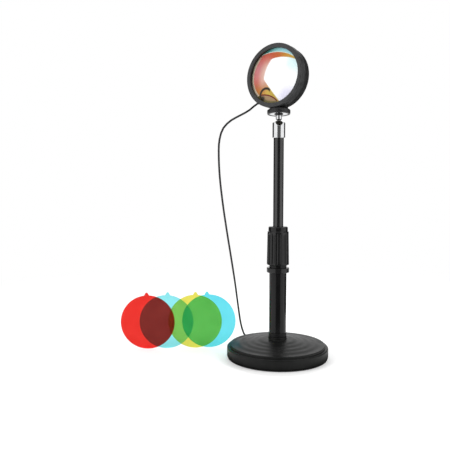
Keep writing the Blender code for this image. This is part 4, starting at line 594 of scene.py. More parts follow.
# Head casing: the moulded drum behind the front ring, with the boss it stands on and a brass insert
# on the stud. The plastic is a shade greyer than the base.
HEAD_UP = 0.0612
HEAD_TURN = radians(-36.45)
HEAD_AXIS = STEM_AXIS @ moved(0, 0, HEAD_UP) @ spun(HEAD_TURN, "Z") @ spun(QUARTER_TURN, "X")
BOSS_AXIS = STEM_AXIS @ spun(HEAD_TURN, "Z")
HEAD_STEPS = 192
SEAM_FRONT = 0.0026
CASING_BACK = -0.0081
BOSS_BACK = 0.0073


def boss_reach(radius, height, bearing):
    """Flattens the boss level with the front seam and the back edge of the drum."""
    ahead = -radius * sin(bearing)
    limit = SEAM_FRONT if ahead > 0 else BOSS_BACK
    return (radius * min(1.0, limit / abs(ahead)) if ahead else radius), height


casing_outline = [
    (0.0344, 0.0042), (0.0366, 0.0042), (0.0366, 0.0067, 0.0002), (0.0379, 0.0067, 0.0002),
    (0.0379, SEAM_FRONT), (0.0392, SEAM_FRONT, 0.0003), (0.0392, CASING_BACK, 0.0009),
    (0.0302, CASING_BACK), (0.0302, -0.0059), (0.037, -0.0059), (0.037, 0.0006), (0.0344, 0.0024)]
boss_outline = [
    (0.0023, 0.021), (0.0115, 0.021, 0.0008), (0.0115, 0.0252, 0.0002), (0.005, 0.0252), (0.005, 0.0272),
    (0.0029, 0.0272), (0.0029, 0.0238), (0.0023, 0.0238)]
head_plastic = finish(
    "moulded_head_plastic", (0.02, 0.0205, 0.021), (0.034, 0.035, 0.036), 0.006, (0.36, 0.5), 0.00035,
    0.000014, worn=(0.055, 0.056, 0.058))
drum_plastic = finish(
    "moulded_drum_plastic", (0.011, 0.0112, 0.0114), (0.018, 0.0183, 0.0187), 0.006, (0.4, 0.52), 0.00035,
    0.00001, worn=(0.022, 0.0225, 0.023), shine=0.16)
dress("head_casing", casing_outline, 0.0002, HEAD_STEPS, drum_plastic, "head_plastic", "head", HEAD_AXIS)
fit(turned("head_boss", eased(boss_outline, 0.0002), NUT_STEPS, BOSS_AXIS, boss_reach), drum_plastic,
    "head_plastic", "head")
refinish(metal("turned_brass", (0.52, 0.38, 0.16), (0.64, 0.48, 0.22), 0.002, (0.22, 0.34), 0.0003,
               0.00001), "boss_insert")


# Light source: a finned alloy heat sink with the light chip on its board, a small condenser with the
# sunset film in front of it, and a matt shield round them. All of it sits behind the lens.
shield_plastic = finish(
    "matt_shield_plastic", (0.008, 0.008, 0.0085), (0.014, 0.014, 0.015), 0.004, (0.6, 0.75), 0.0004,
    0.00002)
SOFT_BLACK = ((0.01, 0.01, 0.0105), (0.018, 0.018, 0.019))
soft_rubber = finish("soft_black_rubber", *SOFT_BLACK, 0.003, (0.55, 0.7), 0.0004, 0.00001)
refinish(metal("extruded_alloy", (0.55, 0.56, 0.57), (0.68, 0.69, 0.7), 0.002, (0.28, 0.42), 0.0002,
               0.00001, run=(0.1, 1, 1)), "heat_sink")
refinish(finish("white_board_coat", (0.76, 0.77, 0.75), (0.86, 0.86, 0.84), 0.003, (0.3, 0.45), 0.0005,
                0.000008), "led_board")
refinish(finish("yellow_phosphor", (0.78, 0.6, 0.07), (0.92, 0.74, 0.14), 0.0015, (0.35, 0.5), 0.0004,
                0.00001), "led_chip")
refinish(shield_plastic, "light_shield", "switch_body")
refinish(soft_rubber, "lens_gasket")


# Lens: a heavy glass lens on a gasket, held by a dark ring. Its colour coating shows bands of orange,
# rose and yellow near its edge round a bright middle, which is a painted reflection of the white
# surroundings, tinted blue and lilac. Places on it are in shares of its dome's radius.
DOME_RADIUS = 0.034
DOME_FOOT = 0.008
DOME_RISE = 0.0021
DOME_STEPS = 32
dome_bend = (DOME_RADIUS ** 2 + DOME_RISE ** 2) / (2 * DOME_RISE)
lens_outline = [(0, 0.0054), (0.036, 0.0054), (0.0363, 0.0056), (0.0363, 0.0078), (0.036, DOME_FOOT)]
for step in range(DOME_STEPS):
    reach = DOME_RADIUS * (1 - step / DOME_STEPS)
    lens_outline.append((reach, DOME_FOOT + DOME_RISE - dome_bend + sqrt(dome_bend ** 2 - reach ** 2)))
lens_outline.append((0, DOME_FOOT + DOME_RISE))

# The edge's own hues, once round it, and the blues at its top, from left to right.
BAND_HUES = (
    (0.055, (0.582, 0.41, 0.081)), (0.092, (0.52, 0.327, 0.048)), (0.153, (0.505, 0.238, 0.03)),
    (0.211, (0.455, 0.112, 0.022)), (0.286, (0.46, 0.078, 0.036)), (0.347, (0.485, 0.11, 0.085)),
    (0.417, (0.47, 0.165, 0.175)), (0.48, (0.5, 0.165, 0.16)), (0.528, (0.48, 0.125, 0.095)),
    (0.583, (0.41, 0.13, 0.022)), (0.625, (0.455, 0.2, 0.034)), (0.667, (0.52, 0.35, 0.062)),
    (0.728, (0.436, 0.309, 0.048)))
TEAL_HUES = (
    (0.0, (0.026, 0.124, 0.093)), (0.25, (0.103, 0.309, 0.292)), (0.55, (0.25, 0.527, 0.527)),
    (0.95, (0.327, 0.588, 0.654)))
TEAL_SHIFT = 0.45
# Each circle is (its middle, its radius).
LEFT_EDGE = ((0.75, -0.22), 1.22)
TOP_EDGE = ((0.1, -1.0), 1.65)
TEAL_EDGE = ((-0.18, -0.8), 1.7)
FOOT_EDGE = ((-0.6, -1.55), 0.915)
HOOK_ARC = ((-0.4, -0.67), 0.25)
# The straight lower left edge of the bright middle: a point on it, and the direction away from it.
LOW_EDGE = ((-0.47, -0.08), (0.811, 0.585))
PALE_SPOT = (-0.5, 0.15)
BLUE_SPOT = (0.8, 0.4)
LILAC_SPOT = (0.45, -0.8)
DARK_SPOT = (-0.56, -0.78)
HOOK_SPOT = (-0.5, -0.46)
RED_SPOT = (-0.24, -0.72)
PALE_ROSE = (0.615, 0.4, 0.325)
CREAM = (0.654, 0.539, 0.404)
PALE_GREEN = (0.575, 0.723, 0.654)
TAN = (0.32, 0.205, 0.112)
OLIVE = (0.15, 0.125, 0.042)
# The bright middle, a painted reflection of the white surroundings, and its blue and lilac tints.
REFLECTED_WHITE = (0.973, 0.991, 1.0)
PALE_BLUE = (0.7, 0.9, 0.92)
LILAC = (0.74, 0.725, 0.86)
BROWN_BLACK = (0.03, 0.022, 0.012)
HOOK_BLACK = (0.02, 0.014, 0.008)
DEEP_RED = (0.124, 0.004, 0.004)
PALE_STRENGTH = 0.9
LINE_STRENGTH = 0.8
LINE_CORE = 0.35
ARC_FADE = 0.8

coating, coat, coat_face = new_material("sunset_coating")
on_lens = node(coat, "Mapping", {
    "Vector": node(coat, "TexCoord")["Object"], "Location": HEAD_AXIS.translation,
    "Rotation": HEAD_AXIS.to_euler(), "Scale": (DOME_RADIUS,) * 3}, vector_type="TEXTURE")
lens_ways = node(coat, "SeparateXYZ", {0: on_lens["Vector"]})
across, up = lens_ways["X"], lens_ways["Y"]
plus, minus, times, size_of = (
    partial(worked_out, coat, way) for way in ("ADD", "SUBTRACT", "MULTIPLY", "ABSOLUTE"))
step_on = partial(eased_step, coat)


def from_spot(spot):
    """How far each point of the lens lies from a spot."""
    sideways, upward = minus(across, spot[0]), minus(up, spot[1])
    return worked_out(coat, "SQRT", plus(times(sideways, sideways), times(upward, upward)))


def past(circle):
    """How far each point lies outside a circle."""
    middle, radius = circle
    return minus(from_spot(middle), radius)


def arc_line(circle, width, kept, reach):
    """A thin arc of a circle, kept only near one spot."""
    near = step_on(from_spot(kept), reach, reach * ARC_FADE)
    return times(step_on(size_of(past(circle)), width, width * LINE_CORE), near)


turn = worked_out(coat, "ARCTAN2", times(up, -1), times(across, -1))
bands = ramp_of(coat, BAND_HUES, plus(worked_out(coat, "DIVIDE", turn, FULL_TURN), 0.5))
out = from_spot((0, 0))
left_edge = past(LEFT_EDGE)
pale_share = times(times(step_on(left_edge, 0.36, 0.04), PALE_STRENGTH),
                   step_on(from_spot(PALE_SPOT), 0.78, 0.14))
cream_share = times(step_on(out, 0.925, 0.965), step_on(across, -0.5, -0.78))
upper = step_on(up, 0.35, 0.5)
over_top = past(TEAL_EDGE)
teals = ramp_of(coat, TEAL_HUES, plus(across, TEAL_SHIFT))
teal_share = times(step_on(over_top, -0.004, 0.012), upper)
line_share = times(times(step_on(size_of(over_top), 0.022, 0.006), upper), LINE_STRENGTH)
foot_share = times(step_on(past(FOOT_EDGE), 0.0, -0.02), step_on(up, -0.5, -0.6))
olive_share = times(foot_share, step_on(out, 0.9, 0.96))
(edge_across, edge_up), (way_across, way_up) = LOW_EDGE
low_edge = plus(times(minus(across, edge_across), way_across), times(minus(up, edge_up), way_up))
# Painted reflection: the bright middle inside the bands is painted white, tinted blue and lilac.
reflection_share = times(times(step_on(left_edge, 0.06, -0.05), step_on(low_edge, -0.03, 0.04)),
                   step_on(past(TOP_EDGE), 0.025, -0.02))
reflected_middle = laid_over(coat, step_on(from_spot(BLUE_SPOT), 0.55, 0.1), REFLECTED_WHITE, PALE_BLUE)
reflected_middle = laid_over(coat, step_on(from_spot(LILAC_SPOT), 0.6, 0.1), reflected_middle, LILAC)
layers = (
    (pale_share, PALE_ROSE), (cream_share, CREAM), (teal_share, teals), (line_share, PALE_GREEN),
    (foot_share, TAN), (olive_share, OLIVE), (reflection_share, reflected_middle),
    (step_on(from_spot(DARK_SPOT), 0.15, 0.05), BROWN_BLACK),
    (arc_line(HOOK_ARC, 0.066, HOOK_SPOT, 0.34), HOOK_BLACK),
    (arc_line(FOOT_EDGE, 0.034, RED_SPOT, 0.44), DEEP_RED))
for share, colour in layers:
    bands = laid_over(coat, share, bands, colour)
feed(coat, coat_face, {"Base Color": bands, "Roughness": 0.3, "Specular IOR Level": 0, "Coat Weight": 1.0,
                       "Coat IOR": 1.35, "Coat Roughness": 0.02})
fit(turned("lens_dressed", lens_outline, HEAD_STEPS, HEAD_AXIS), coating, "coated_glass", "head", "lens")

retainer_outline = [(0.0346, 0.0083, 0.0002), (0.0363, 0.0083), (0.0363, 0.0101), (0.0346, 0.0101, 0.0002)]
retainer_gloss = finish(
    "gloss_retainer_plastic", (0.009, 0.022, 0.015), (0.014, 0.034, 0.022), 0.006, (0.12, 0.22), 0.0006,
    0.000006)
dress("lens_retainer", retainer_outline, 0.0001, HEAD_STEPS,
      retainer_gloss, "grip_plastic", "head", HEAD_AXIS)


# Front ring: a moulded ring that screws over the casing's spigot, so that a colour filter can be laid
# in behind its lip.
bezel_outline = [
    (0.0346, 0.011), (0.0346, 0.013, 0.0006), (0.0402, 0.013, 0.0018), (0.0402, 0.0029, 0.0003),
    (0.0382, 0.0029), (0.0382, 0.007), (0.0368, 0.007), (0.0368, 0.011)]
dress("front_bezel", bezel_outline, 0.0002, HEAD_STEPS,
      head_plastic, "head_plastic", "front_ring", HEAD_AXIS)


# Back cover: a rounded moulded cap behind the drum with three groups of vents, held by three small
# cross-headed screws in pockets.
COVER_RIM = -0.0084
SCREW_CIRCLE = 0.0334
SCREW_COUNT = 3
SCREW_STEPS = 48
VENT_CIRCLE = 0.0325
VENT_COUNT = 3
VENT_PITCH = radians(17)
TOOL_STEPS = 24
# Each tool: its half length, half width, and the heights of its two ends on its axis.
POCKET_TOOL = (0.0026, 0.0026, -0.03, -0.0118)
VENT_TOOL = (0.0021, 0.0009, -0.03, -0.007)
BUTTON_TOOL = (0.0057, 0.0057, -0.03, -0.025)
GLAND_TOOL = (0.0033, 0.0033, -0.03, -0.025)
CROSS_TOOL = (0.0013, 0.00028, -0.014, -0.0124)
CROSS_TURN = 0.3
BUTTON_AXIS = HEAD_AXIS @ moved(0, 0.007, 0)
GLAND_AXIS = HEAD_AXIS @ moved(0, -0.0105, 0)


def cut_by(piece, tools):
    """The piece after the tools have been cut from it; the tools are used up."""
    together = bmesh.new()
    for tool in tools:
        together.from_mesh(tool.data)
    cutter = as_piece("cutter", together)
    step = piece.modifiers.new("cut", "BOOLEAN")
    step.operation = "DIFFERENCE"
    step.solver = "MANIFOLD"
    step.object = cutter
    worked = bpy.data.meshes.new_from_object(piece.evaluated_get(bpy.context.evaluated_depsgraph_get()))
    worked.materials.clear()
    piece.modifiers.clear()
    piece.data = worked
    for tool in [cutter] + tools:
        bpy.data.objects.remove(tool)
    return piece


def slot_tool(sizes, axis):
    """A round-ended straight tool along its axis's Z."""
    half_length, half_width, *heights = sizes
    edge = []
    for step in range(TOOL_STEPS):
        angle = FULL_TURN * step / TOOL_STEPS
        end = 1 if step <= TOOL_STEPS // 4 or step > TOOL_STEPS * 3 // 4 else -1
        edge.append((end * (half_length - half_width) + half_width * cos(angle), half_width * sin(angle)))
    return skinned("tool", [[(*point, height) for point in edge] for height in heights], axis)


def round_the_head(bearing, reach):
    """A place on the back of the head, out from its middle at a bearing."""
    return HEAD_AXIS @ spun(bearing, "Z") @ moved(reach, 0, 0)


cap_outline = [
    (0, -0.0284), (0.02, -0.0284, 0.0035), (0.0255, -0.0239, 0.006), (0.031, -0.0179, 0.006),
    (0.0365, -0.0119, 0.004), (0.0386, COVER_RIM, 0.0003), (0.0366, COVER_RIM), (0.0345, -0.0116),
    (0.0288, -0.0172), (0.0232, -0.0224), (0.019, -0.0264), (0, -0.0264)]
cap_piece = turned("back_cover_dressed", eased(cap_outline, 0.0003), HEAD_STEPS, HEAD_AXIS)
screw_bearings = [QUARTER_TURN + FULL_TURN * screw / SCREW_COUNT for screw in range(SCREW_COUNT)]
cap_tools = []
for bearing in screw_bearings:
    cap_tools.append(slot_tool(POCKET_TOOL, round_the_head(bearing, SCREW_CIRCLE)))
    for vent in range(VENT_COUNT):
        vent_bearing = bearing + pi / SCREW_COUNT + VENT_PITCH * (vent - (VENT_COUNT - 1) / 2)
        cap_tools.append(slot_tool(VENT_TOOL, round_the_head(vent_bearing, VENT_CIRCLE)))
cap_tools.append(slot_tool(BUTTON_TOOL, BUTTON_AXIS))
cap_tools.append(slot_tool(GLAND_TOOL, GLAND_AXIS))
fit(cut_by(cap_piece, cap_tools), head_plastic, "head_plastic", "head", "back_cover")

screw_outline = [
    (0, -0.0131), (0.0021, -0.0131, 0.0004), (0.0023, -0.0119, 0.0001), (0.0013, -0.0119),
    (0.0013, -0.0067), (0, -0.0067)]
for screw, bearing in enumerate(screw_bearings, 1):
    screw_node = "cover_screw_%d" % screw
    screw_axis = round_the_head(bearing, SCREW_CIRCLE)
    screw_piece = turned(screw_node + "_dressed", eased(screw_outline, 0), SCREW_STEPS, screw_axis)
    cross = [slot_tool(CROSS_TOOL, screw_axis @ spun(CROSS_TURN + arm, "Z")) for arm in (0, QUARTER_TURN)]
    fit(cut_by(screw_piece, cross), zinc_steel, "plain_steel", "head", screw_node)


# Push switch button: a small domed cap that stands 2 mm out of the back cover, with a raised ring
# round its edge for the fingertip.
button_outline = [
    (0, -0.0302), (0.003, -0.0301, 0.0008), (0.0042, -0.0304, 0.0004), (0.0054, -0.0304, 0.0006),
    (0.0054, -0.0261), (0.0066, -0.0261), (0.0066, -0.0253), (0.002, -0.0253), (0.002, -0.0247),
    (0, -0.0247)]
dress("switch_button", button_outline, 0.0001, TUBE_STEPS,
      grip_plastic, "grip_plastic", "button", BUTTON_AXIS)


# Gland: a sleeve moulded in soft black rubber with five ribs and pushed into the back cover. It
# carries the lead out and lets it bend.
GLAND_STEPS = 64
GLAND_TIP = -0.0407
GLAND_RIBS = 5
GLAND_FIRST = (0.00245, -0.0396)
GLAND_PITCH = 0.0021
GLAND_FLARE = 0.00033
gland_outline = [(0, GLAND_TIP), (0.0019, GLAND_TIP), (0.0023, -0.0404)]
for rib in range(GLAND_RIBS):
    wide = GLAND_FIRST[0] + GLAND_FLARE * rib
    back = GLAND_FIRST[1] + GLAND_PITCH * rib
    gland_outline += [
        (wide, back, 0.0002), (wide + 0.0001, back + 0.0012, 0.0002),
        (wide - 0.00035, back + 0.0013, 0.0001), (wide - 0.00025, back + 0.002, 0.0001)]
gland_outline += [
    (0.0042, -0.0291, 0.0002), (0.0042, -0.0287), (0.003, -0.0287), (0.003, -0.0261), (0.0046, -0.0261),
    (0.0046, -0.0251), (0, -0.0251)]
dress("cord_gland", gland_outline, 0, GLAND_STEPS, soft_rubber, "soft_rubber", "head", GLAND_AXIS)


# Lead: a round two-core lead in soft black plastic. It leaves the gland, passes over the left of the
# head, hangs behind the mast to the floor, and lies there in a small tied coil that ends in the plug.
LEAD_RADIUS = 0.0013
LEAD_SIDES = 16
LEAD_STEP = 0.0074
KNOT_PARTS = 24
HANGING_ROUTE = (
    (0.0289, 0.0447, 0.3429), (0.0315, 0.0515, 0.3423), (0.0304, 0.0589, 0.3415), (0.0256, 0.0647, 0.3406),
    (0.0184, 0.0671, 0.3396), (0.011, 0.0655, 0.3386), (0.004, 0.0603, 0.3373), (-0.005, 0.0525, 0.335),
    (-0.015, 0.0436, 0.3318), (-0.0262, 0.0332, 0.3272), (-0.0366, 0.0262, 0.3183), (-0.048, 0.0205, 0.3115),
    (-0.06, 0.016, 0.3046), (-0.07, 0.015, 0.2945), (-0.0748, 0.018, 0.28), (-0.0758, 0.023, 0.262),
    (-0.0745, 0.031, 0.232), (-0.0705, 0.041, 0.196), (-0.065, 0.052, 0.158), (-0.059, 0.062, 0.12),
    (-0.0535, 0.07, 0.084), (-0.049, 0.0755, 0.05), (-0.045, 0.0788, 0.024), (-0.0395, 0.0793, 0.0082),
    (-0.031, 0.0757, 0.0022), (-0.021, 0.071, 0.0015), (-0.011, 0.0678, 0.002))
TAIL_ROUTE = (
    (0.0095, 0.0682, 0.0049), (0.0157, 0.0706, 0.0043), (0.0201, 0.0721, 0.0038),
    (0.0248, 0.0723, 0.0036), (0.0293, 0.0709, 0.0035))
COIL_MIDDLE = Vector((0, 0.0853, 0))
COIL_RADIUS = 0.018
COIL_TURNS = 5.0
COIL_STEPS = 200
COIL_PITCH = 0.00305
COIL_LOW = 0.0022
COIL_CLIMB = (2.25, 0.5)
CUTS = (19, 25, 34)
# Each stretch: the bodies at its two ends, and its first and last place on the route.
STRETCHES = (("head", "stem", 0, CUTS[0]), ("stem", "mast", *CUTS[:2]), ("mast", "carriage", *CUTS[1:]))
PLUG_AXIS = moved(0.04941, 0.05299, 0.0035) @ spun(radians(-43), "Z") @ spun(QUARTER_TURN, "Y")
PLUG_ENTRY = -0.0195
PLUG_RUN_IN = -0.0225


def smooth_run(knots, spacing):
    """Points at even steps along a smooth curve through the knots."""
    knots = [Vector(knot) for knot in knots]
    fine = []
    padded = [knots[0] * 2 - knots[1]] + knots + [knots[-1] * 2 - knots[-2]]
    for first, second, third, fourth in zip(padded, padded[1:], padded[2:], padded[3:]):
        for part in range(KNOT_PARTS):
            t = part / KNOT_PARTS
            bend = (first * -1 + second * 3 - third * 3 + fourth) * t ** 3
            sway = (first * 2 - second * 5 + third * 4 - fourth) * t ** 2
            fine.append((second * 2 + (third - first) * t + sway + bend) / 2)
    fine.append(knots[-1])
    gone = [0.0]
    for near, far in zip(fine, fine[1:]):
        gone.append(gone[-1] + (far - near).length)
    count = max(2, round(gone[-1] / spacing))
    points = []
    now = 0
    for step in range(count + 1):
        target = gone[-1] * step / count
        while now < len(fine) - 2 and gone[now + 1] < target:
            now += 1
        points.append(fine[now].lerp(fine[now + 1], (target - gone[now]) / (gone[now + 1] - gone[now])))
    return points


def coil_point(turn):
    """A point on the coil: in along the floor, up a layer where it turns back, and out on top."""
    radius = COIL_RADIUS - COIL_PITCH * min(turn, COIL_TURNS - turn)
    climb = held((turn - COIL_CLIMB[0]) / COIL_CLIMB[1])
    bearing = FULL_TURN * turn - QUARTER_TURN
    height = COIL_LOW + COIL_PITCH * climb
    return COIL_MIDDLE + Vector((radius * cos(bearing), radius * sin(bearing), height))


def drawn_lead(name, route):
    """A round lead along a route."""
    side = (route[1] - route[0]).orthogonal().normalized()
    loops = []
    for here, point in enumerate(route):
        ahead = (route[min(here + 1, len(route) - 1)] - route[max(here - 1, 0)]).normalized()
        side = (side - ahead * side.dot(ahead)).normalized()
        above = ahead.cross(side)
        loop = []
        for step in range(LEAD_SIDES):
            angle = FULL_TURN * step / LEAD_SIDES
            loop.append(point + (side * cos(angle) + above * sin(angle)) * LEAD_RADIUS)
        loops.append(loop)
    return skinned(name, loops)


cord_skin = finish("soft_cord_skin", *SOFT_BLACK, 0.004, (0.34, 0.48), 0.0007, 0.00003)
gland_tip = GLAND_AXIS @ Vector((0, 0, GLAND_TIP))
coil_route = [coil_point(COIL_TURNS * step / COIL_STEPS) for step in range(COIL_STEPS + 1)]
coil_in = coil_route[0] + Vector((-LEAD_RADIUS * 2, 0, 0))
coil_out = coil_route[-1] + Vector((LEAD_RADIUS * 2, 0, 0))
hanging = smooth_run([gland_tip, *HANGING_ROUTE, coil_in], LEAD_STEP)
plug_ends = [PLUG_AXIS @ Vector((0, 0, reach)) for reach in (PLUG_RUN_IN, PLUG_ENTRY)]
tail = smooth_run([coil_out, *TAIL_ROUTE, *plug_ends], LEAD_STEP / 2)
for upper_body, lower_body, first, last in STRETCHES:
    route = hanging[first:last + 1]
    stretch = fit(drawn_lead("lead_at_" + upper_body, route), cord_skin, "cord_rubber", None,
                  "cord_" + upper_body)
    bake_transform(stretch)

foot_route = hanging[CUTS[2]:] + coil_route + [coil_out] + tail[1:]
lead_foot = fit(drawn_lead("lead_to_plug", foot_route), cord_skin, "cord_rubber", None,
                "cord_drop", "cord_coil", "cord_tail")
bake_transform(lead_foot)


# Coil tie: a soft woven black band, 6 mm wide, closed round one side of the coil to hold its turns
# together.
TIE_AXIS = moved(*COIL_MIDDLE) @ spun(radians(150), "Z") @ spun(QUARTER_TURN, "X")
TIE_INNER = 0.00903
TIE_OUTER = 0.01871
TIE_LOW = 0.0006
TIE_HIGH = 0.00685
TIE_CORNER = 0.0022
TIE_THICK = 0.00048
TIE_EDGE = 0.0002
TIE_HALF = 0.003
TIE_FACE = 0.0027


def round_loop(wide, tall, corner, parts=6):
    """The outline of a box with round corners, from its right side."""
    points = []
    for quarter, (side, rise) in enumerate(((1, 1), (-1, 1), (-1, -1), (1, -1))):
        for part in range(parts + 1):
            angle = QUARTER_TURN * (quarter + part / parts)
            points.append((side * (wide / 2 - corner) + corner * cos(angle),
                           rise * (tall / 2 - corner) + corner * sin(angle)))
    return points


tie_middle = ((TIE_INNER + TIE_OUTER) / 2, (TIE_LOW + TIE_HIGH) / 2)
tie_section = (
    (0.0, TIE_HALF), (TIE_EDGE, TIE_HALF), (TIE_THICK, TIE_FACE), (TIE_THICK, -TIE_FACE),
    (TIE_EDGE, -TIE_HALF), (0.0, -TIE_HALF))
tie_loops = []
for grow, reach in tie_section:
    loop = round_loop(TIE_OUTER - TIE_INNER + grow * 2, TIE_HIGH - TIE_LOW + grow * 2, TIE_CORNER + grow)
    tie_loops.append([(tie_middle[0] + sideways, tie_middle[1] + rise, reach) for sideways, rise in loop])
tie_band = finish(
    "woven_tie_band", (0.012, 0.012, 0.013), (0.024, 0.024, 0.025), 0.0012, (0.62, 0.8), 0.00035, 0.00008,
    run=(1, 1, 0.4))
tie_piece = fit(skinned("coil_tie_dressed", tie_loops, TIE_AXIS, ring=True), tie_band,
                "grip_plastic", "base", "coil_tie")


# Plug: a plain USB plug. A soft moulded body with finger ribs and a short relief, a folded steel
# shell with two windows, and a white tongue with four gilded contacts.
BODY_HIGH = 0.0055
RELIEF_RIB = (0.0054, 0.0054, 0.00269)
BODY_RIB = (0.007, 0.0125, 0.0017)
BODY_GROOVE = (0.0062, 0.0119, 0.0015)
GROOVE_STARTS = (-0.011, -0.0086, -0.0062)
# Each size: the height of a loop on the plug's axis, and its thickness, width and corner.
body_sizes = [
    (PLUG_ENTRY, 0.0042, 0.0042, 0.0021), (-0.0193, 0.005, 0.005, 0.0025),
    (-0.0176, 0.0053, 0.0053, 0.00264), (-0.0174, 0.0046, 0.0046, 0.00229),
    (-0.0168, 0.0046, 0.0046, 0.00229), (-0.0166, *RELIEF_RIB), (-0.0152, *RELIEF_RIB),
    (-0.015, 0.0047, 0.0047, 0.00234), (-0.0144, 0.0047, 0.0047, 0.00234), (-0.0142, *RELIEF_RIB),
    (-0.0136, 0.0054, 0.006, 0.00269), (-0.0135, 0.0056, 0.0104, 0.0022),
    (-0.0131, 0.0066, 0.0119, 0.0018), (-0.0124, *BODY_RIB)]
for start in GROOVE_STARTS:
    body_sizes += [
        (start, *BODY_RIB), (start + 0.0003, *BODY_GROOVE), (start + 0.0012, *BODY_GROOVE),
        (start + 0.0015, *BODY_RIB)]
body_sizes += [
    (0.0051, *BODY_RIB), (BODY_HIGH, 0.0066, 0.0121, 0.0014), (BODY_HIGH, 0.0051, 0.0123, 0.0006),
    (0.0007, 0.0051, 0.0123, 0.0006)]
SHELL_SIZE = (0.0045, 0.012, 0.0007)
SHELL_LOW = 0.00075
SHELL_HIGH = 0.0195
SHELL_INSETS = (
    (SHELL_LOW, 0.0), (0.0189, 0.0), (SHELL_HIGH, 0.00012), (SHELL_HIGH, 0.0003), (0.0189, 0.0004),
    (SHELL_LOW, 0.0004))
WINDOW_ASIDE = 0.0028
WINDOW_UP = 0.0128
WINDOW_TOOL = (0.00125, 0.00095, -0.004, 0.004)
TONGUE_SIZE = (0.0018, 0.0106, 0.0004)
TONGUE_INSETS = ((0.0015, 0.0), (0.0186, 0.0), (0.0191, 0.0003))
TONGUE_SHIFT = -0.00065
CONTACT_SIZE = (0.0002, 0.0011, 0.00008)
CONTACT_SHIFT = 0.00025
CONTACT_RISES = ((0.0118, 0.0), (0.0122, 0.00008), (0.0176, 0.00008), (0.018, 0.0))
CONTACT_PITCH = 0.0025
CONTACT_COUNT = 4


def box_loop(size, inset, shift, height, aside=0.0, parts=6):
    """A loop round the plug: a thickness, width and corner, drawn in by an inset and shifted."""
    thick, wide, corner = size
    return [(rise + shift, sideways + aside, height)
            for rise, sideways in round_loop(thick - inset * 2, wide - inset * 2, corner - inset, parts)]


body_loops = [box_loop(size, 0, 0, height) for height, *size in body_sizes]
plug_rubber = finish("moulded_plug_rubber", *SOFT_BLACK, 0.003, (0.42, 0.55), 0.0004, 0.000015)
plug_piece = fit(
    skinned("plug_body_dressed", body_loops, PLUG_AXIS), plug_rubber, "cord_rubber", "base", "plug_body")

shell_loops = [box_loop(SHELL_SIZE, inset, 0, height) for height, inset in SHELL_INSETS]
shell_steel = metal(
    "folded_shell_steel", (0.56, 0.57, 0.58), (0.68, 0.69, 0.7), 0.002, (0.18, 0.3), 0.0005, 0.000006,
    run=(1, 0.3, 1))
shell_piece = skinned("plug_shell_dressed", shell_loops, PLUG_AXIS, ring=True)
windows = [slot_tool(WINDOW_TOOL, PLUG_AXIS @ moved(0, aside, WINDOW_UP) @ spun(QUARTER_TURN, "Y"))
           for aside in (-WINDOW_ASIDE, WINDOW_ASIDE)]
fit(cut_by(shell_piece, windows), shell_steel, "plain_steel", "base", "plug_shell")

tongue_loops = [box_loop(TONGUE_SIZE, inset, TONGUE_SHIFT, height) for height, inset in TONGUE_INSETS]
tongue_piece = fit(
    skinned("plug_tongue_dressed", tongue_loops, PLUG_AXIS), nylon, "nylon", "base", "plug_tongue")
gilt = metal("gilt_contact", (0.8, 0.58, 0.24), (0.9, 0.68, 0.32), 0.001, (0.15, 0.25), 0.0003, 0.000004)
for contact in range(CONTACT_COUNT):
    aside = CONTACT_PITCH * (contact - (CONTACT_COUNT - 1) / 2)
    contact_loops = [
        box_loop(CONTACT_SIZE, 0, CONTACT_SHIFT + rise, height, aside, 2) for height, rise in CONTACT_RISES]
    contact_piece = skinned("plug_contact_%d" % (contact + 1), contact_loops, PLUG_AXIS)
    fit(contact_piece, gilt, "insert_brass", "base")


# Colour filters: four discs cut from clear coloured sheet half a millimetre thick, each with a small
# pull tab. They stand on edge one behind the other, and one at a time goes in behind the front ring.
FILTER_RADIUS = 0.0365
FILTER_HALF = 0.00025
FILTER_FLAT = FILTER_HALF * 0.6
FILTER_SIDES = ((-FILTER_HALF, 0.0001), (-FILTER_FLAT, 0.0), (FILTER_FLAT, 0.0), (FILTER_HALF, 0.0001))
FILTER_STEPS = 144
TAB_FOOT = 0.0034
TAB_TIP = 0.0018
TAB_RISE = 0.004
# The tab's tip: shares of its half width, and how far each point lies below its top.
TAB_POINTS = ((1, 0.0012), (0.85, 0.0005), (0.5, 0.0), (-0.5, 0.0), (-0.85, 0.0005), (-1, 0.0012))
SHEET_BEND = 1.14
SHEET_PATCH = 1 / 70
SHEET_TONES = (0.3, 0.7)
SHEET_HAZE = (0.02, 0.07)
CAST_PALENESS = 0.8
# Each filter: its name, place, turn in degrees, colour, and the colour of its deeper patches.
FILTERS = (
    ("red", (-0.1722, 0.04), -2.0, (0.745, 0.034, 0.026), (0.69, 0.026, 0.02)),
    ("sky", (-0.1471, 0.0425), 2.8, (0.25, 0.72, 0.765), (0.225, 0.68, 0.73)),
    ("yellow", (-0.1084, 0.045), 1.0, (0.7, 0.655, 0.105), (0.66, 0.615, 0.092)),
    ("blue", (-0.0897, 0.0475), -3.8, (0.135, 0.655, 0.755), (0.12, 0.62, 0.72)))


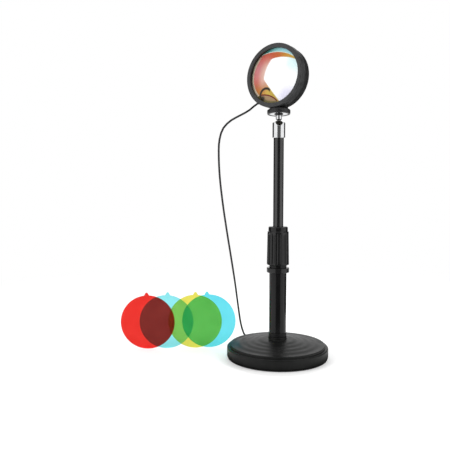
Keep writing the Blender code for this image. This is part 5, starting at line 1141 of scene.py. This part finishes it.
def disc_loop(inset):
    """A filter's edge with its tab, drawn in by a small inset."""
    radius = FILTER_RADIUS - inset
    tab_angle = asin(TAB_FOOT / FILTER_RADIUS)
    loop = []
    for step in range(FILTER_STEPS + 1):
        angle = QUARTER_TURN + tab_angle + (FULL_TURN - 2 * tab_angle) * step / FILTER_STEPS
        loop.append((radius * cos(angle), radius * sin(angle)))
    tab_top = FILTER_RADIUS * cos(tab_angle) + TAB_RISE - inset
    return loop + [(TAB_TIP * share, tab_top - down) for share, down in TAB_POINTS]


def coloured_sheet(name, colour, deep):
    """Clear coloured plastic sheet, faintly uneven, that lets coloured light through to the floor."""
    material, tree, face = new_material(name)
    patches = clouds_of(tree, node(tree, "TexCoord")["Object"], SHEET_PATCH, GRAIN_DETAIL)
    tone = ramp_of(tree, tuple(zip(SHEET_TONES, (deep, colour))), patches)
    feed(tree, face, {"Transmission Weight": 1.0, "IOR": SHEET_BEND, "Base Color": tone,
                      "Roughness": ranged(tree, patches, given=SHEET_HAZE)})
    cast = node(tree, "BsdfTransparent", {"Color": laid_over(tree, CAST_PALENESS, tone, (1, 1, 1))})
    mixed_surface(tree, node(tree, "LightPath")["Is Shadow Ray"], face.outputs["BSDF"], cast["BSDF"])
    return material


for name, (aside, depth), lean, colour, deep in FILTERS:
    stand = moved(aside, depth, FILTER_RADIUS) @ spun(radians(lean), "Y") @ spun(QUARTER_TURN, "X")
    disc_loops = [[(x, y, side) for x, y in disc_loop(inset)] for side, inset in FILTER_SIDES]
    fit(skinned("filter_%s_sheet" % name, disc_loops, stand), coloured_sheet(name + "_sheet", colour, deep),
        name + "_gel", name + "_filter", "filter_" + name)


# Glass behind the lens, out of sight: the small moulded condenser over the light chip, and the orange
# sunset film held in front of it.
refinish(coloured_sheet("condenser_glass", (0.92, 0.97, 0.96), (0.88, 0.95, 0.94)), "condenser_lens")
refinish(coloured_sheet("sunset_film_sheet", (0.92, 0.34, 0.06), (0.82, 0.24, 0.04)), "sunset_film")
